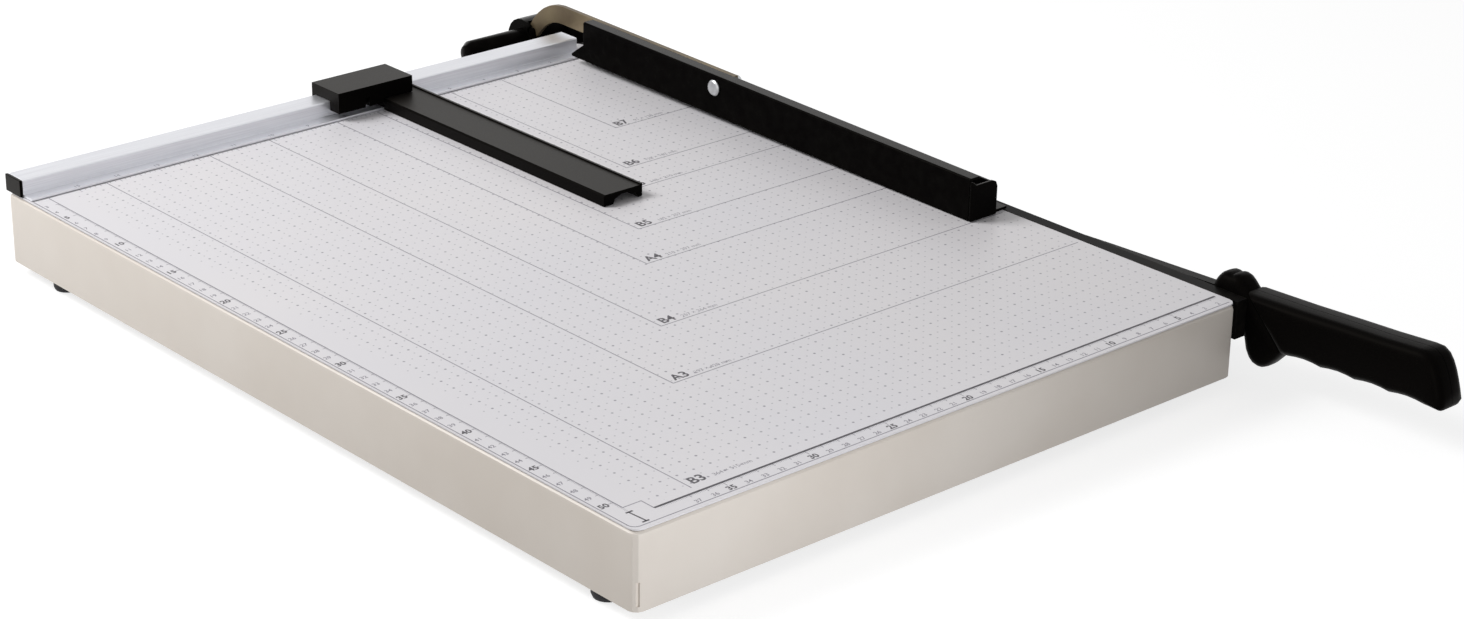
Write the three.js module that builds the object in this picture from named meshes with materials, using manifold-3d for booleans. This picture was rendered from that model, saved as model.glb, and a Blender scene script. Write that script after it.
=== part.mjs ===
// Paper trimmer: a table tray with a fixed knife on its right edge, a blade arm hinged behind it,
// a clamp bar that comes down with the arm, and a gauge that slides along the rear fence rail.
// Millimetres. While the pieces are made, X is 0 on the cutting face of the fixed knife, Y is 0 on
// the rear face of the tray and Z is 0 on the table surface. +X points right, +Y away from the
// user and +Z up. The group at the end moves the origin under the middle of the bounding box.
import * as THREE from 'three';
import { mergeVertices } from 'three/addons/utils/BufferGeometryUtils.js';
import Module from 'manifold-3d';

const wasm = await Module();
wasm.setup();

// Clearances and counts that all pieces share
const gap = 0.3;
const overrun = 2;
const roundSides = 20;
const smallSides = 12;
const hexSides = 6;

// Tray of bent sheet steel
const tableWidth = 400.5;
const tableDepth = 534.5;
const tableHeight = 40.7;
const sheet = 1.2;
const bendRadius = 2.5;
const bendSteps = 3;
const cornerRadius = 2.5;
const returnFlange = 28;
const seamWidth = 1.7;
const seamHeight = 12;
const seamInset = 1.5;
const seamSill = 2.7;

// Printed table plate
const plateThickness = 0.8;
const plateInset = 0.6;
const plateCorner = 5;

// Fixed knife and the bar behind the tray wall that it is bolted to
const knifeThickness = 7.7;
const knifeHeight = 21;
const knifeFrontInset = 0.5;
const knifeRearInset = 2;
const mountBarThickness = 10;
const mountBarHeight = 18;
const mountBarDrop = 4;
const mountBarEndInset = 14;
const knifeBoltCount = 4;
const knifeBoltEndInset = 45;
const knifeBoltRadius = 3;
const knifeBoltHeadRadius = 5;
const knifeBoltHeadHeight = 4;
const knifeBoltReach = 4.5;

// Cross braces under the table
const braceWidth = 40;
const braceDepth = 14;
const braceEndInset = 22;
const bracePlaceShares = [0.3667, 0.666];

// Rubber feet and their screws
const footRadius = 8;
const footRun = 4.8;
const footHeight = 7;
const footRounding = 2.5;
const footSideInset = 15.5;
const footFrontInset = 31.5;
const footRearInset = 41;
const footScrewRadius = 2;
const footScrewHeadRadius = 3.8;
const footScrewHeadHeight = 2;
const footScrewSink = 2.4;
const footScrewReach = 5;

// Fence rail, its end cap and the screws that hold it from below
const railRightInset = 13.7;
const railDepth = 15.5;
const railHeight = 9.7;
const railWall = 1.6;
const railRearInset = 0.5;
const railCornerCut = 0.6;
const ledgeDepth = 8.5;
const ledgeThickness = 1.2;
const endCapThickness = 1.5;
const endCapPlug = 9;
const endCapPlugWall = 1.5;
const railLeftOverhang = 0.5;
const railScrewCount = 2;
const railScrewEndInset = 34;
const railScrewSetback = 9.25;
const railScrewRadius = 2;
const railScrewHeadRadius = 4;
const railScrewHeadHeight = 2.4;
const railScrewReach = 3;

// Hinge behind the tray
const hingeBehind = 34.6;
const hingeDrop = 4.3;
const shaftRadius = 4;
const barrelLeft = 70;
const barrelRight = 25.2;
const barrelRadius = 8;
const barrelBoreRadius = 6.6;
const barrelEndWall = 6;
const domeLength = 5;
const bushWall = 1.6;
const barrelBushLength = 9.5;
const lugWidth = 8.7;
const lugRadius = 9.6;
const bracketThickness = 6;
const bracketHeight = 33;
const bracketDrop = 3.5;
const bracketLeft = 76;
const bracketWebThickness = 7;
const bracketWebPlace = 57;
const bracketBoltPlaces = [-66, -40, -18];
const bracketBoltDrop = 31;
const bracketBoltRadius = 3;
const bracketBoltHeadRadius = 5.2;
const bracketBoltHeadHeight = 4;
const bracketNutHeight = 5;

// Balance spring inside the barrel
const springWire = 1.2;
const springRadius = 5.2;
const springCurls = 10;
const springEndRoom = 2;
const curlSteps = 8;
const wireSides = 5;

// Hub on the shaft that carries the clamp lever, and the dog pin that lifts it
const hubRadius = 14;
const hubEarRadius = 5.4;
const hubEarWidth = 6;
const hubCounterboreDepth = 6;
const hubCounterboreRadius = 8.2;
const dogPinRadius = 1.5;
const leverPinArm = 11.8;
const leverPinTilt = 138;
const leverPinRadius = 2;
const leverPinHeadRadius = 3;
const leverPinHeadHeight = 0.8;

// Clamp lever, a flat bar on edge
const leverThickness = 3;
const leverLeftInset = 12.4;
const leverFrontWidth = 11.4;
const leverTailWidth = 9;
const leverNose = 3;
const leverRise = -0.8;
const leverBendRise = 1.4;
const leverBendLead = 3;
const leverShoulder = 14;
const leverBendSteps = 6;
const leverEndSteps = 6;

// Clamp bar
const clampLength = 340;
const clampRearSetback = 28;
const clampRightSetback = 5.5;
const clampFootWidth = 29.9;
const clampSheet = 1.5;
const clampWallHeight = 24.4;
const clampInnerWallHeight = 18;
const clampChannelWidth = 19.9;
const clampFlange = 7.8;
const clampTailCut = 11;
const clampTailRise = 8;
const clampPivotBack = 132;
const clampPivotHeight = 17.05;
const clampRise = 2.95;
const clampCapThickness = 1.6;
const clampCapHeight = 20.4;
const clampCapRound = 4;
const rivetRadius = 2.5;
const rivetHeadRadius = 4.75;
const rivetHeadHeight = 1.6;
const rivetTailRadius = 3.8;
const rivetTailHeight = 1;
const spacerWall = 1.5;
const rivetWasherThickness = 1;

// Blade arm
const armThickness = 6;
const bladeThickness = 4;
const armEyeRadius = 10;
const armNeckInset = 27;
const armHeight = 32;
const armTopShares = [
  [0.07, 0.2], [0.2, -0.02], [0.35, -0.08], [0.776, -0.08], [0.859, -0.012], [1, 0.078],
];
const armBottomShares = [[1, -0.82], [0.84, -0.95], [0.5, -1], [0.22, -0.92], [0.07, -0.62]];
const tangHeight = 15;
const tangEndInset = 20;
const tangDrop = 2.5;
const tangFall = 1;

// Upper blade and its screws
const bladeToeInset = 28.5;
const bladeRearSetback = 6;
const bladeTopDrop = 8;
const bladeHeelHeight = 16;
const bladeBellyHeight = 27;
const bladeToeHeight = 22;
const bladeEdgeSteps = 8;
const bladeScrewCount = 4;
const bladeScrewEndInset = 40;
const bladeScrewDrop = 15;
const bladeScrewRadius = 2.5;
const bladeScrewHeadRadius = 4.5;
const bladeScrewHeadHeight = 3;

// Nut and washer on the right end of the shaft
const washerRadius = 8;
const washerThickness = 1.2;
const nutRadius = 6.5;
const nutHeight = 4;
const shaftProud = 1;

// Grip in two halves, and the hilt guard behind it
const gripLength = 126.5;
const gripHeight = 28;
const gripWidth = 20;
const gripSetback = 24.5;
const gripTop = 8.4;
const gripRounding = 5;
const gripRoundSteps = 4;
const gripTopShares = [
  [0, 0.204], [0.288, 0.155], [0.489, 0.104], [0.685, 0.061], [0.86, 0.004], [0.9, 0.008],
  [0.93, 0.09], [0.951, 0.214], [0.969, 0.375], [0.983, 0.546], [0.995, 0.721], [1, 0.914], [0.99, 1],
];
const gripScallops = 4;
const scallopSteps = 4;
const scallopDepth = 1.1;
const gripHeelShares = [0.229, 1.125];
const gripToeShares = [0.909, 1.004];
const gripTailShares = [[0.197, 1.127]];
const guardThickness = 14.6;
const guardRounding = 5;
const guardNeckGap = 1;
const guardLength = 49;
const guardTop = 8.7;
const guardHeight = 45.4;
const guardShares = [
  [0, 0.216], [0.02, 0.148], [0.057, 0.086], [0.094, 0.04], [0.147, 0.011], [0.202, 0.009],
  [0.235, 0.02], [0.269, 0.004], [0.31, 0], [0.365, 0.015], [0.424, 0.062], [0.484, 0.125],
  [0.494, 0.139], [1, 0.709], [0.916, 0.822], [0.833, 0.919], [0.782, 0.965], [0.731, 0.993],
  [0.676, 1], [0.606, 0.98], [0.547, 0.927], [0.496, 0.835], [0.459, 0.68], [0.03, 0.65],
];
const insetShare = 0.9;
const gripScrewShares = [0.22, 0.7];
const gripScrewRadius = 2;
const gripScrewHeadRadius = 3.6;
const gripScrewHeadHeight = 2;

// Gauge head on the rail and gauge arm over the table
const gaugeRight = 146.4;
const gaugeArmWidth = 27.1;
const gaugeArmLength = 210.7;
const gaugeArmHeight = 6.7;
const gaugeArmLeg = 6.5;
const gaugeArmRightLeg = 3;
const gaugeArmTop = 1.8;
const gaugeArchSteps = 5;
const gaugeRimWidth = 1.4;
const gaugeRimHeight = 0.8;
const gaugeHeadWidth = 52.5;
const gaugeHeadShift = 6.6;
const gaugeHeadThickness = 6.7;
const gaugeHeadFront = 25.2;
const gaugeFrontWallHeight = 5.7;
const gaugeRearLip = 2;
const gaugeRearLipHeight = 10;
const gaugeSlotWidth = 3;
const gaugeSlotShift = 19;
const gaugePadWidth = 30;
const gaugePadDepth = 10;
const gaugePadThickness = 1.6;
const gaugeScrewRadius = 1.5;
const gaugeScrewHeadRadius = 3;
const gaugeScrewHeadHeight = 1.2;
const gaugeScrewSpread = 9;
const gaugeScrewReach = 5;

// Places that follow from the sizes above
const tableRight = -(knifeThickness + gap);
const tableLeft = tableRight - tableWidth;
const skirtBottom = -tableHeight;
const trayTop = -(plateThickness + gap);
const trayUnder = trayTop - sheet;
const hingeY = hingeBehind;
const hingeZ = -hingeDrop;
const hubLeft = -barrelRight + gap;
const hubRight = -lugWidth - gap;
const armLeft = gap;
const armBodyLeft = armLeft + bladeThickness + gap;
const armRight = armBodyLeft + armThickness;
const neckY = -tableDepth + armNeckInset;
const armReach = hingeY - neckY;
const bladeLength = tableDepth - bladeRearSetback - bladeToeInset;
const guardBack = -neckY + guardNeckGap;
const gripFrontReach = guardBack + gripSetback + gripLength;
const tangEnd = -gripFrontReach + tangEndInset;
const clampLeft = -clampRightSetback - clampFootWidth;
const clampRear = -clampRearSetback;
const pivotY = clampRear - clampPivotBack;
const pivotZ = clampPivotHeight + clampRise;
const clampFrontReach = clampLength - clampPivotBack;
const leverLeft = clampLeft + leverLeftInset;
const leverRight = leverLeft + leverThickness;
const leverPinY = hingeY + leverPinArm * Math.cos(THREE.MathUtils.degToRad(leverPinTilt));
const leverPinZ = hingeZ + leverPinArm * Math.sin(THREE.MathUtils.degToRad(leverPinTilt));
const railLeft = tableLeft - railLeftOverhang + endCapThickness + gap;
const railRight = tableRight - railRightInset;
const railFront = -railRearInset - railDepth;
const railTop = gap + railHeight;

// The bar tips about its rivet until its front end lies on the table.
const clampTip = Math.asin((pivotZ - gap) / Math.hypot(clampFrontReach, clampPivotHeight))
  - Math.atan2(clampPivotHeight, clampFrontReach);

// Materials
function finish(color, roughness, metalness) {
  return new THREE.MeshStandardMaterial({ color, roughness, metalness });
}

const creamPaint = () => finish(0xddd7cd, 0.45, 0.1);
const printedPlate = () => finish(0xdcdce0, 0.4, 0.2);
const blackPaint = () => finish(0x121110, 0.3, 0.2);
const blackPlastic = () => finish(0x0c0b0b, 0.4, 0);
const blackRubber = () => finish(0x17161a, 0.8, 0);
const satinAluminium = () => finish(0xd7d7dc, 0.35, 0.9);
const toolSteel = () => finish(0x8d8f92, 0.25, 0.95);
const zincSteel = () => finish(0xbdbdbb, 0.35, 0.9);
const yellowZinc = () => finish(0x8d8473, 0.4, 0.85);
const bronze = () => finish(0xa3834f, 0.4, 0.85);
const springSteel = () => finish(0x55524e, 0.35, 0.9);

// Solids
function solidOf(geometry) {
  const bare = geometry.clone();
  bare.deleteAttribute('normal');
  bare.deleteAttribute('uv');
  const merged = mergeVertices(bare);
  const vertProperties = Float32Array.from(merged.attributes.position.array);
  const triVerts = Uint32Array.from(merged.index.array);
  return new wasm.Manifold(new wasm.Mesh({ numProp: 3, vertProperties, triVerts }));
}

function pieceOf(name, solid, material) {
  const data = solid.getMesh();
  const geometry = new THREE.BufferGeometry();
  geometry.setAttribute('position', new THREE.BufferAttribute(data.vertProperties, data.numProp));
  geometry.setIndex(new THREE.BufferAttribute(data.triVerts, 1));
  geometry.computeVertexNormals();
  const piece = new THREE.Mesh(geometry, material);
  piece.name = name;
  return piece;
}

function blockOf(x0, x1, y0, y1, z0, z1) {
  const geometry = new THREE.BoxGeometry(x1 - x0, y1 - y0, z1 - z0);
  geometry.translate((x0 + x1) / 2, (y0 + y1) / 2, (z0 + z1) / 2);
  return solidOf(geometry);
}

// Outlines are lists of [a, b] pairs; the extrusions run along X, Y or Z from low to high.
function extrusionOf(outline, depth, holes, bevel) {
  const shape = new THREE.Shape(outline.map(([a, b]) => new THREE.Vector2(a, b)));
  for (const hole of holes) {
    shape.holes.push(new THREE.Path(hole.map(([a, b]) => new THREE.Vector2(a, b))));
  }
  const rounded = bevel.size > 0;
  return new THREE.ExtrudeGeometry(shape, {
    depth: depth - 2 * bevel.size,
    steps: 1,
    bevelEnabled: rounded,
    bevelThickness: bevel.size,
    bevelSize: bevel.size,
    bevelOffset: -bevel.size,
    bevelSegments: bevel.steps,
  }).translate(0, 0, bevel.size);
}

const sharp = { size: 0, steps: 0 };

function alongX(outline, x0, x1, { holes = [], bevel = sharp } = {}) {
  const geometry = extrusionOf(outline, x1 - x0, holes, bevel);
  const axes = [new THREE.Vector3(0, 1, 0), new THREE.Vector3(0, 0, 1), new THREE.Vector3(1, 0, 0)];
  geometry.applyMatrix4(new THREE.Matrix4().makeBasis(...axes));
  geometry.translate(x0, 0, 0);
  return solidOf(geometry);
}

function alongY(outline, y0, y1, { holes = [], bevel = sharp } = {}) {
  const geometry = extrusionOf(outline, y1 - y0, holes, bevel);
  const axes = [new THREE.Vector3(1, 0, 0), new THREE.Vector3(0, 0, 1), new THREE.Vector3(0, -1, 0)];
  geometry.applyMatrix4(new THREE.Matrix4().makeBasis(...axes));
  geometry.translate(0, y1, 0);
  return solidOf(geometry);
}

function alongZ(outline, z0, z1, { holes = [], bevel = sharp } = {}) {
  const geometry = extrusionOf(outline, z1 - z0, holes, bevel);
  geometry.translate(0, 0, z0);
  return solidOf(geometry);
}

// A slab along X with rounded edges. Each corner of the outline moves in along its bisector, and
// stops short of the place where an edge beside it would shrink to nothing.
function padX(outline, x0, x1, rounding, steps) {
  const corners = outline.map(([a, b]) => new THREE.Vector2(a, b));
  if (THREE.ShapeUtils.isClockWise(corners)) {
    corners.reverse();
  }
  const count = corners.length;
  const after = (i) => (i + 1) % count;
  const before = (i) => (i + count - 1) % count;
  const edges = corners.map((corner, i) => corners[after(i)].clone().sub(corner));
  const runs = edges.map((edge) => edge.clone().normalize());
  const moves = corners.map((corner, i) => {
    const sum = runs[before(i)].clone().add(runs[i]);
    return new THREE.Vector2(-sum.y, sum.x).multiplyScalar(2 / sum.lengthSq());
  });
  const limits = edges.map((edge, i) => {
    const shrink = -moves[after(i)].clone().sub(moves[i]).dot(runs[i]);
    return shrink > 0 ? insetShare * edge.length() / shrink : rounding;
  });
  const reaches = corners.map((corner, i) => Math.min(rounding, limits[before(i)], limits[i]));
  const rings = [];
  for (let step = 0; step <= steps; step += 1) {
    const angle = Math.PI / 2 * step / steps;
    const ring = corners.map((corner, i) => (
      corner.clone().addScaledVector(moves[i], reaches[i] * (1 - Math.sin(angle)))));
    const depth = rounding * (1 - Math.cos(angle));
    rings.splice(step, 0, { x: x0 + depth, ring }, { x: x1 - depth, ring });
  }
  const positions = rings.flatMap(({ x, ring }) => ring.flatMap((corner) => [x, corner.x, corner.y]));
  const index = [];
  for (let layer = 0; layer < rings.length - 1; layer += 1) {
    for (let i = 0; i < count; i += 1) {
      const a = layer * count + i;
      const b = layer * count + after(i);
      index.push(a, b, a + count, b, b + count, a + count);
    }
  }
  const last = (rings.length - 1) * count;
  for (const [a, b, c] of THREE.ShapeUtils.triangulateShape(rings[0].ring, [])) {
    index.push(a, c, b, last + a, last + b, last + c);
  }
  const geometry = new THREE.BufferGeometry();
  geometry.setAttribute('position', new THREE.Float32BufferAttribute(positions, 3));
  geometry.setIndex(index);
  return solidOf(geometry);
}

// Turned solids: a profile of [radius, height] pairs about an axis through (a, b)
function turnedOf(profile, sides) {
  return new THREE.LatheGeometry(profile.map(([r, h]) => new THREE.Vector2(r, h)), sides);
}

function turnedX(profile, y, z, sides = roundSides) {
  const geometry = turnedOf(profile, sides).rotateZ(-Math.PI / 2);
  return solidOf(geometry.translate(0, y, z));
}

function turnedY(profile, x, z, sides = roundSides) {
  return solidOf(turnedOf(profile, sides).translate(x, 0, z));
}

function turnedZ(profile, x, y, sides = roundSides) {
  const geometry = turnedOf(profile, sides).rotateX(Math.PI / 2);
  return solidOf(geometry.translate(x, y, 0));
}

const rodProfile = (radius, low, high) => [[0, low], [radius, low], [radius, high], [0, high]];

const ringProfile = (inner, outer, low, high) => [
  [inner, low], [outer, low], [outer, high], [inner, high], [inner, low],
];

const rodX = (y, z, radius, x0, x1, sides) => turnedX(rodProfile(radius, x0, x1), y, z, sides);
const rodY = (x, z, radius, y0, y1, sides) => turnedY(rodProfile(radius, y0, y1), x, z, sides);
const rodZ = (x, y, radius, z0, z1, sides) => turnedZ(rodProfile(radius, z0, z1), x, y, sides);

// A screw along +X, +Y or +Z: the head starts at `start` and the shank ends at `end`.
function screwProfile(headRadius, headHeight, radius, start, end) {
  const away = Math.sign(end - start);
  const seat = start + away * headHeight;
  const profile = [
    [0, start], [headRadius, start], [headRadius, seat], [radius, seat], [radius, end], [0, end],
  ];
  return away > 0 ? profile : profile.reverse();
}

const rectangle = (a0, a1, b0, b1) => [[a0, b0], [a1, b0], [a1, b1], [a0, b1]];

function roundedRectangle(a0, a1, b0, b1, radius, steps) {
  const centres = [
    [a1 - radius, b0 + radius], [a1 - radius, b1 - radius],
    [a0 + radius, b1 - radius], [a0 + radius, b0 + radius],
  ];
  const points = [];
  centres.forEach(([a, b], quarter) => {
    for (let i = 0; i <= steps; i += 1) {
      const angle = (quarter - 1 + i / steps) * Math.PI / 2;
      points.push([a + radius * Math.cos(angle), b + radius * Math.sin(angle)]);
    }
  });
  return points;
}

function evenPlaces(count, first, last) {
  return Array.from({ length: count }, (_, i) => first + (last - first) * i / (count - 1));
}

// Tray: a rounded block, hollowed from below, with flanges turned in along its sides
const footXs = [tableLeft + footSideInset, tableRight - footSideInset];
const footYs = [-tableDepth + footFrontInset, -footRearInset];
const knifeBoltYs = evenPlaces(knifeBoltCount, -tableDepth + knifeBoltEndInset, -knifeBoltEndInset);
const knifeBoltZ = -mountBarDrop - mountBarHeight / 2 + trayUnder;
const railScrewXs = evenPlaces(railScrewCount, railLeft + railScrewEndInset, railRight - railScrewEndInset);
const railScrewY = -railScrewSetback;
const bracketBoltZ = -bracketBoltDrop;

function makeTray() {
  const blockOutline = (inset, radius) => roundedRectangle(
    tableLeft + inset, tableRight - inset, -tableDepth + inset, -inset, radius, bendSteps);
  const bend = { size: bendRadius, steps: bendSteps };
  const innerBend = { size: bendRadius - sheet, steps: bendSteps };
  const corner = cornerRadius + bendRadius;
  const below = blockOf(tableLeft - overrun, tableRight + overrun, -tableDepth - overrun, overrun,
    skirtBottom - bendRadius - overrun, skirtBottom);
  let tray = alongZ(blockOutline(0, corner), skirtBottom - bendRadius, trayTop, { bevel: bend });
  tray = tray.subtract(below);
  const room = alongZ(blockOutline(sheet, corner - sheet), skirtBottom + sheet - innerBend.size,
    trayUnder, { bevel: innerBend });
  const hollow = room.intersect(
    blockOf(tableLeft, tableRight, -tableDepth, 0, skirtBottom + sheet, 0));
  const mouth = blockOf(tableLeft + returnFlange, tableRight - returnFlange, -tableDepth + sheet,
    -sheet, skirtBottom - overrun, skirtBottom + sheet + gap);
  tray = tray.subtract(hollow).subtract(mouth);
  const seam = blockOf(tableLeft + seamInset, tableLeft + seamInset + seamWidth, -tableDepth - overrun,
    -tableDepth + sheet + gap, skirtBottom + seamSill, skirtBottom + seamSill + seamHeight);
  tray = tray.subtract(seam);
  for (const x of footXs) {
    for (const y of footYs) {
      tray = tray.subtract(rodZ(x, y, footScrewRadius + gap, skirtBottom - overrun,
        skirtBottom + sheet + overrun, smallSides));
    }
  }
  for (const y of knifeBoltYs) {
    tray = tray.subtract(rodX(y, knifeBoltZ, knifeBoltRadius + gap, tableRight - sheet - overrun,
      tableRight + overrun, smallSides));
  }
  for (const x of railScrewXs) {
    tray = tray.subtract(rodZ(x, railScrewY, railScrewRadius + gap, trayUnder - overrun, overrun,
      smallSides));
  }
  for (const x of bracketBoltPlaces) {
    tray = tray.subtract(rodY(x, bracketBoltZ, bracketBoltRadius + gap, -sheet - overrun, overrun,
      smallSides));
  }
  return pieceOf('base_tray', tray, creamPaint());
}

function makePlate() {
  const outline = roundedRectangle(tableLeft + plateInset, tableRight, -tableDepth + plateInset,
    -plateInset, plateCorner, bendSteps);
  let plate = alongZ(outline, -plateThickness, 0);
  for (const x of railScrewXs) {
    plate = plate.subtract(rodZ(x, railScrewY, railScrewRadius + gap, -plateThickness - overrun,
      overrun, smallSides));
  }
  return pieceOf('table_plate', plate, printedPlate());
}

function makeKnife() {
  let knife = blockOf(-knifeThickness, 0, -tableDepth + knifeFrontInset, -knifeRearInset, -knifeHeight, 0);
  for (const y of knifeBoltYs) {
    knife = knife.subtract(rodX(y, knifeBoltZ, knifeBoltRadius + gap, -knifeThickness - overrun,
      -knifeThickness + knifeBoltReach + gap, smallSides));
  }
  return pieceOf('fixed_knife', knife, toolSteel());
}

function makeMountBar() {
  const right = tableRight - sheet - gap;
  const top = trayUnder - mountBarDrop;
  let bar = blockOf(right - mountBarThickness, right, -tableDepth + mountBarEndInset, -mountBarEndInset,
    top - mountBarHeight, top);
  for (const y of knifeBoltYs) {
    bar = bar.subtract(rodX(y, knifeBoltZ, knifeBoltRadius + gap, right - mountBarThickness - overrun,
      right + overrun, smallSides));
  }
  return pieceOf('knife_mount_bar', bar, blackPaint());
}

function makeKnifeBolts() {
  const seat = tableRight - sheet - gap - mountBarThickness - gap;
  return knifeBoltYs.map((y, i) => {
    const head = rodX(y, knifeBoltZ, knifeBoltHeadRadius, seat - knifeBoltHeadHeight, seat, hexSides);
    const shank = rodX(y, knifeBoltZ, knifeBoltRadius, seat - overrun,
      -knifeThickness + knifeBoltReach, smallSides);
    return pieceOf(`knife_bolt_${i + 1}`, head.add(shank), zincSteel());
  });
}

function makeBraces() {
  const top = trayUnder - gap;
  const left = tableLeft + bendRadius + gap;
  const right = tableRight - braceEndInset;
  return bracePlaceShares.map((share, i) => {
    const front = -tableDepth * share - braceWidth / 2;
    const back = front + braceWidth;
    const outer = blockOf(left, right, front, back, top - braceDepth, top);
    const inner = blockOf(left - overrun, right + overrun, front + sheet, back - sheet,
      top - braceDepth - overrun, top - sheet);
    return pieceOf(`cross_brace_${i + 1}`, outer.subtract(inner), zincSteel());
  });
}

function makeFeet() {
  const top = skirtBottom - gap;
  const bottom = skirtBottom - footHeight - gap;
  const seat = bottom + footScrewSink + footScrewHeadHeight;
  const bore = footScrewRadius + gap;
  const recess = footScrewHeadRadius + gap;
  const arc = footRounding * (1 - Math.SQRT1_2);
  const side = [
    [footRadius - footRounding, bottom], [footRadius - arc, bottom + arc],
    [footRadius, bottom + footRounding], [footRadius, top],
  ];
  const hollow = [
    [0, bottom - overrun], [recess, bottom - overrun], [recess, seat], [bore, seat],
    [bore, top + overrun], [0, top + overrun],
  ];
  const pieces = [];
  const names = ['front_left', 'rear_left', 'front_right', 'rear_right'];
  for (const x of footXs) {
    for (const y of footYs) {
      const name = names.shift();
      const section = [
        ...side.map(([reach, z]) => [y + reach, z]),
        ...side.map(([reach, z]) => [y - reach, z]).reverse(),
      ];
      let pad = alongX(section, x - footRun, x + footRun);
      for (const end of [x - footRun, x + footRun]) {
        pad = pad.add(turnedZ([[0, bottom], ...side, [0, top]], end, y));
      }
      pieces.push(pieceOf(`foot_${name}`, pad.subtract(turnedZ(hollow, x, y)), blackRubber()));
      const screw = screwProfile(footScrewHeadRadius, footScrewHeadHeight, footScrewRadius,
        seat - gap - footScrewHeadHeight, skirtBottom + sheet + footScrewReach);
      pieces.push(pieceOf(`foot_screw_${name}`, turnedZ(screw, x, y, smallSides), zincSteel()));
    }
  }
  return pieces;
}

// Fence rail: a hollow extrusion with a thin ledge in front, closed at the left by a plug
function makeRail() {
  const cut = railCornerCut;
  const outline = [
    [railFront - ledgeDepth, gap], [-railRearInset, gap], [-railRearInset, railTop - cut],
    [-railRearInset - cut, railTop], [railFront + cut, railTop], [railFront, railTop - cut],
    [railFront, gap + ledgeThickness], [railFront - ledgeDepth, gap + ledgeThickness],
  ];
  const hole = rectangle(railFront + railWall, -railRearInset - railWall, gap + railWall,
    railTop - railWall);
  let rail = alongX(outline, railLeft, railRight, { holes: [hole] });
  for (const x of railScrewXs) {
    rail = rail.subtract(rodZ(x, railScrewY, railScrewRadius + gap, 0, gap + railWall + overrun,
      smallSides));
  }
  return pieceOf('fence_rail', rail, satinAluminium());
}

function makeEndCap() {
  const face = railLeft - gap;
  const cover = blockOf(face - endCapThickness, face, railFront, -railRearInset, gap, railTop);
  const room = railWall + gap;
  const plug = blockOf(face - gap, face + endCapPlug, railFront + room, -railRearInset - room, gap + room,
    railTop - room);
  const wall = room + endCapPlugWall;
  const core = blockOf(face, face + endCapPlug + overrun, railFront + wall, -railRearInset - wall,
    gap + wall, railTop - wall);
  return pieceOf('rail_end_cap', cover.add(plug).subtract(core), blackPlastic());
}

function makeRailScrews() {
  return railScrewXs.map((x, i) => {
    const profile = screwProfile(railScrewHeadRadius, railScrewHeadHeight, railScrewRadius,
      trayUnder - gap - railScrewHeadHeight, gap + railWall + railScrewReach);
    return pieceOf(`rail_screw_${i + 1}`, turnedZ(profile, x, railScrewY, smallSides), zincSteel());
  });
}

// Hinge bracket: a casting with a bored barrel at the left and a bearing lug at the right
function makeBracket() {
  const front = gap;
  const back = gap + bracketThickness;
  const top = -bracketDrop;
  const bottom = top - bracketHeight;
  let bracket = blockOf(-bracketLeft, 0, front, back, bottom, top);
  const barrel = turnedX([
    [0, -barrelLeft],
    [barrelRadius * Math.SQRT1_2, -barrelLeft + domeLength * (1 - Math.SQRT1_2)],
    [barrelRadius, -barrelLeft + domeLength], [barrelRadius, -barrelRight], [0, -barrelRight],
  ], hingeY, hingeZ);
  const web = [
    [back - gap, bottom], [back - gap, top], [hingeY, hingeZ],
    [hingeY + barrelRadius / 2, hingeZ - barrelRadius / 2],
  ];
  const slopeWeb = (x0, x1) => alongX(web, x0, x1);
  bracket = bracket.add(barrel);
  bracket = bracket.add(slopeWeb(-bracketWebPlace, -bracketWebPlace + bracketWebThickness));
  bracket = bracket.add(slopeWeb(-barrelRight - bracketWebThickness, -barrelRight));
  bracket = bracket.add(slopeWeb(-lugWidth, 0)).add(rodX(hingeY, hingeZ, lugRadius, -lugWidth, 0));
  bracket = bracket.subtract(rodX(hingeY, hingeZ, barrelBoreRadius, -barrelLeft + barrelEndWall,
    -barrelRight + overrun));
  bracket = bracket.subtract(rodX(hingeY, hingeZ, shaftRadius + bushWall + 2 * gap,
    -lugWidth - overrun, overrun));
  for (const x of bracketBoltPlaces) {
    bracket = bracket.subtract(rodY(x, bracketBoltZ, bracketBoltRadius + gap, front - overrun,
      back + overrun, smallSides));
  }
  return pieceOf('hinge_bracket', bracket, blackPaint());
}

function makeBracketBolts() {
  const headSeat = 2 * gap + bracketThickness;
  const nutFace = -sheet - gap;
  return bracketBoltPlaces.flatMap((x, i) => {
    const head = rodY(x, bracketBoltZ, bracketBoltHeadRadius, headSeat,
      headSeat + bracketBoltHeadHeight, hexSides);
    const shank = rodY(x, bracketBoltZ, bracketBoltRadius, nutFace - bracketNutHeight - gap,
      headSeat + gap, smallSides);
    const nut = rodY(x, bracketBoltZ, bracketBoltHeadRadius, nutFace - bracketNutHeight, nutFace,
      hexSides);
    const thread = rodY(x, bracketBoltZ, bracketBoltRadius + gap, nutFace - bracketNutHeight - overrun,
      nutFace + overrun, smallSides);
    return [
      pieceOf(`bracket_bolt_${i + 1}`, head.add(shank), zincSteel()),
      pieceOf(`bracket_nut_${i + 1}`, nut.subtract(thread), zincSteel()),
    ];
  });
}

function makeBushes() {
  const inner = shaftRadius + gap;
  const barrelBush = ringProfile(inner, barrelBoreRadius - gap, -barrelRight - barrelBushLength,
    -barrelRight);
  const lugBush = ringProfile(inner, shaftRadius + gap + bushWall, -lugWidth, 0);
  return [
    pieceOf('barrel_bush', turnedX(barrelBush, hingeY, hingeZ), bronze()),
    pieceOf('lug_bush', turnedX(lugBush, hingeY, hingeZ), bronze()),
  ];
}

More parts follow.
